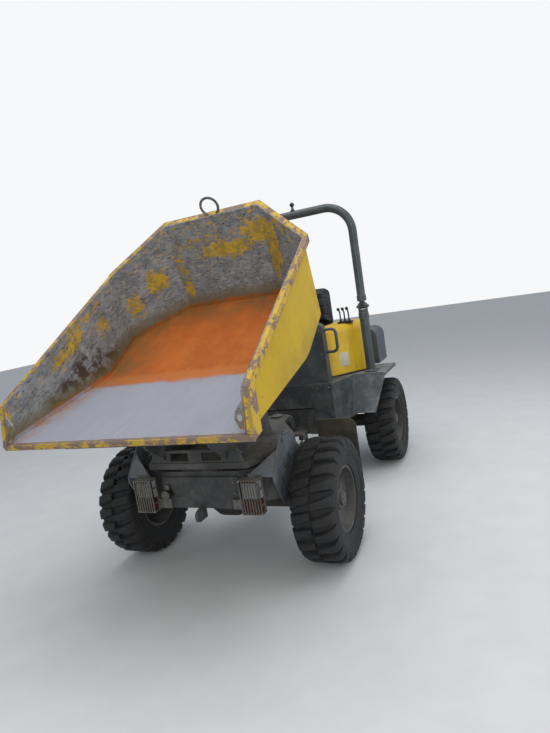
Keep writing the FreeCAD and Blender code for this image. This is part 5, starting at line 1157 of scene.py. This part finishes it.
SEAT_X = (-0.125, 0.385)
cushion = swollen("seat_pad", at(SEAT_X[0] + 0.016, 1.966, 1.575), at(SEAT_X[1] - 0.016, 2.338, 1.664), 2, 1.575)
sewn(cushion, 0, (0.02, 0.24), 0.007, 0.006, 2, 1, 1.63)
sewn(cushion, 1, (FRONT + 2.06, FRONT + 2.15, FRONT + 2.24), 0.006, 0.006, 2, 1, 1.63)
pad = cushion_skin(cushion, "hood", "seat_pad")
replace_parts(pad, "seat_cushion")
rest = swollen("seat_rest", at(SEAT_X[0] + 0.020, 2.362, 1.695), at(SEAT_X[1] - 0.020, 2.446, 2.128), 1, FRONT + 2.446)
for vertex in rest.data.vertices:
    # rounder shoulders at the top of the back
    high = (vertex.co.z - 1.98) / 0.15
    if high > 0:
        middle = 0.130
        vertex.co.x = middle + (vertex.co.x - middle) * (1 - 0.16 * high ** 2)
sewn(rest, 0, (0.03, 0.23), 0.007, 0.006, 1, -1, FRONT + 2.40)
sewn(rest, 2, (1.80, 1.90, 2.00), 0.006, 0.006, 1, -1, FRONT + 2.40)
back = cushion_skin(rest, "hood", "seat_rest")
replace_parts(back, "seat_back")


def seam_round(item, middle, normal_axis, count=60):
    """A piping laid round a cushion, where rays from all sides meet it in one plane."""
    bpy.context.view_layer.update()
    flat = [axis for axis in (0, 1, 2) if axis != normal_axis]
    places = []
    for i in range(count):
        toward = Vector((0, 0, 0))
        toward[flat[0]] = math.cos(2 * math.pi * i / count)
        toward[flat[1]] = math.sin(2 * math.pi * i / count)
        hit, place, normal, face = item.ray_cast(middle + 0.6 * toward, -toward)
        if hit:
            places.append(place)
    return pipe(places + places[:1], 0.0045, 3)


def rounded_outline(x_low, x_high, y, z_low, z_high, radius):
    """Corners of an upright sheet, each turned in five short steps."""
    corners = ((x_high, z_low, -90), (x_high, z_high, 0), (x_low, z_high, 90), (x_low, z_low, 180))
    places = []
    for x, z, start in corners:
        inner = Vector((x - math.copysign(radius, x - 0.13), y, z - math.copysign(radius, z - 1.88)))
        for i in range(6):
            angle = math.radians(start + 18 * i)
            places.append(inner + radius * Vector((math.cos(angle), 0, math.sin(angle))))
    return places


for item in (pad, back):
    print(item.name, "reaches", [round(max(v.co[k] for v in item.data.vertices), 4) for k in range(3)],
          [round(min(v.co[k] for v in item.data.vertices), 4) for k in range(3)])
piping = seam_round(pad, at(0.13, 2.15, 1.645), 2)
back_piping = seam_round(back, at(0.13, 2.395, 1.91), 1)
shell = plate(rounded_outline(-0.105, 0.365, FRONT + 2.4445, 1.66, 2.115, 0.07), (0, 0.010, 0), 0.004, 2)
ribs = [pipe([at(x, 2.4545, 1.70), at(x, 2.4545, 2.06)], 0.004, 3) for x in (-0.01, 0.27)]
gather("seat_piping", [piping, back_piping], "hood", "black_plastic")
gather("seat_shell", [shell] + ribs, "hood", "black_plastic")
slides = [block(at(x, 1.98, 1.563), at(x + 0.03, 2.42, 1.5705), 0.002) for x in (-0.075, 0.305)]
gather("seat_slides", slides, "hood", "bright_steel")
print("seat sewn")

# %% [markdown]
# The rear: a cooler core behind the louvres, frames on the tail lamps, the hitch's welds, and the engine's rocker
# cover, air filter, pulleys and pipes under the hood.

# %% Rear and engine
fins = [block(at(-0.425, 2.945, 1.195), at(0.425, 2.962, 1.500), 0.002)]
fins += [block(at(-0.42, 2.962, 1.202 + 0.0115 * i), at(0.42, 2.970, 1.206 + 0.0115 * i), 0.0008) for i in range(26)]
gather("cooler_core", fins, "rear_chassis", "black_plastic")
cover_seams = [pipe([at(-0.44, 3.0125, 1.19), at(-0.44, 3.0125, 1.50), at(0.44, 3.0125, 1.50), at(0.44, 3.0125, 1.19),
                     at(-0.44, 3.0125, 1.19)][0:2], 0.003, 2),
               pipe([at(0.44, 3.0125, 1.19), at(0.44, 3.0125, 1.50)], 0.003, 2)]
louvre_lips = [pipe([at(-0.42, 3.0105, 1.2295 + 0.042 * i), at(0.42, 3.0105, 1.2295 + 0.042 * i)], 0.0032, 2)
               for i in range(7)]
gather("louvre_lips", cover_seams + louvre_lips, "rear_chassis", "cover_blue_grey")
for side, sign in (("left", 1), ("right", -1)):
    frames = [block(at(sign * 0.464, 3.031, z), at(sign * 0.606, 3.060, z + 0.008), 0.002) for z in (0.894, 0.968)]
    frames += [block(at(sign * x, 3.031, 0.896), at(sign * (x + 0.008), 3.060, 0.974), 0.002) for x in (0.463, 0.599)]
    frames.append(block(at(sign * 0.533, 3.031, 0.900), at(sign * 0.538, 3.0585, 0.970), 0.001))
    gather("tail_frames_" + side, frames, "rear_chassis", "black_plastic")
weight_bolts = [(at(s * x, 3.0295, z), (0, 1, 0)) for s in (1, -1) for x in (0.14, 0.38) for z in (0.83, 1.05)]
gather("weight_bolts", bolts(weight_bolts, 0.014), "rear_chassis", "bright_steel")
hitch_welds = [pipe([at(-0.06, 2.9615, z), at(0.06, 2.9615, z)], 0.005, 2) for z in (0.617, 0.692)]
gather("hitch_welds", hitch_welds, "rear_chassis", "chassis_grey")

engine = [block(at(-0.15, 2.03, 1.395), at(0.11, 2.37, 1.462), 0.014)]
engine += [block(at(-0.152, 2.06 + 0.075 * i, 1.455), at(0.112, 2.072 + 0.075 * i, 1.468), 0.003) for i in range(4)]
engine.append(spun(((0, 0.030), (0.012, 0.030), (0.016, 0.024), (0.016, 0.0)), at(-0.02, 2.20, 1.460), UPWARD, 24))
pulleys = [spun(((0, 0.075), (0.008, 0.075), (0.012, 0.066), (0.016, 0.075), (0.024, 0.075), (0.024, 0.028),
                 (0.034, 0.026), (0.034, 0.0)), at(x, 2.0005, z), AHEAD, 36) for x, z in ((-0.02, 0.82), (-0.02, 1.12))]
pulleys.append(spun(((0, 0.042), (0.006, 0.042), (0.010, 0.036), (0.014, 0.042), (0.020, 0.042), (0.020, 0.0)),
                    at(0.17, 2.0005, 1.25), AHEAD, 28))
filters = [spun(((0, 0.0), (0, 0.085), (0.006, 0.090), (0.030, 0.090), (0.034, 0.086), (0.250, 0.086), (0.256, 0.090),
                 (0.280, 0.090), (0.286, 0.080), (0.286, 0.0)), at(0.40, 2.10, 1.38), (0, 1, 0), 40),
           bar(at(0.245, 2.22, 1.22), at(0.285, 2.22, 1.22), 0.034, 24),
           spun(((0, 0.0), (0, 0.040), (0.004, 0.044), (0.110, 0.044), (0.120, 0.036), (0.122, 0.0)),
                at(0.292, 2.30, 1.02), (0, 0, -1), 28)]
manifold = [bar(at(-0.245, 2.08 + 0.10 * i, 1.24), at(-0.285, 2.08 + 0.10 * i, 1.24), 0.020, 20) for i in range(3)]
manifold.append(bar(at(-0.285, 2.05, 1.24), at(-0.285, 2.31, 1.24), 0.028, 24))
gather("rocker_cover", engine, "rear_chassis", "axle_cast")
gather("engine_pulleys", pulleys, "rear_chassis", "guard_steel")
gather("engine_filters", filters, "rear_chassis", "black_plastic")
gather("engine_manifold", manifold, "rear_chassis", "exhaust_rust")
exhaust_rings = [spun(((0, 0.033), (0.003, 0.037), (0.012, 0.037), (0.015, 0.033)), at(-0.42, 2.20, z), UPWARD, 28)
                 for z in (0.545, 0.70)]
gather("exhaust_clamps", exhaust_rings, "rear_chassis", "bright_steel")
print("rear dressed")

# %% Axles, pivot and steering
for name, y, body in (("front", 0.0, "front_chassis"), ("rear", 2.346, "rear_chassis")):
    flange_bolts = []
    for sign in (1, -1):
        ring = ring_of(8, 0.104, at(sign * 0.8735, y, 0.485), "X", 0.4)
        flange_bolts += [(p, (-sign, 0, 0)) for p in ring]
    ring = ring_of(10, 0.136, at(0.0755, y, 0.485), "X", 0.2)
    flange_bolts += [(p, (1, 0, 0)) for p in ring]
    gather("axle_bolts_" + name, bolts(flange_bolts, 0.009), body, "guard_steel")
    yoke_y, toward = (0.21, 1) if name == "front" else (2.136, -1)
    yoke = spun(((0, 0.055), (0.012, 0.055), (0.014, 0.050), (0.014, 0.030), (0.030, 0.028), (0.032, 0.022), (0.032, 0.0)),
                at(0, yoke_y, 0.485), (0, toward, 0), 32)
    gather("shaft_flange_" + name, [yoke], body, "axle_cast")
pivot_cap = spun(((0, 0.062), (0.006, 0.062), (0.010, 0.056), (0.010, 0.0)), at(0, 1.173, 0.8825), UPWARD, 36)
pivot_bolts = bolts([(p, UPWARD) for p in ring_of(4, 0.044, at(0, 1.173, 0.892), "Z", 0.4)], 0.008)
gather("pivot_cap", [pivot_cap] + pivot_bolts, "pivot", "guard_steel")
gland = STEER_AXIS = (at(0.20, 1.29, 0.56) - at(0.33, 0.48, 0.56)).normalized()
mouth = at(0.33, 0.48, 0.56) + 0.480 * STEER_AXIS
gather("steer_gland", [spun(((-0.030, 0.033), (-0.030, 0.036), (0.004, 0.036), (0.007, 0.030), (0.007, 0.018)),
                            mouth, STEER_AXIS, 32)], "steer_barrel", "guard_steel")
TIP_AXIS = Vector(JOINTS["tip_rod_slide"]["axis"]) if "axis" in JOINTS["tip_rod_slide"] else Vector((0, -0.825057, 0.565049))
mouth = at(0, 0.18, 0.992) + 0.520 * TIP_AXIS
gather("tip_gland", [spun(((-0.045, 0.046), (-0.045, 0.0475), (0.000, 0.0475), (0.004, 0.042), (0.004, 0.026)),
                          mouth, TIP_AXIS, 40)], "tip_barrel", "guard_steel")
bpy.data.objects.remove(BOLT)
print("running gear dressed")
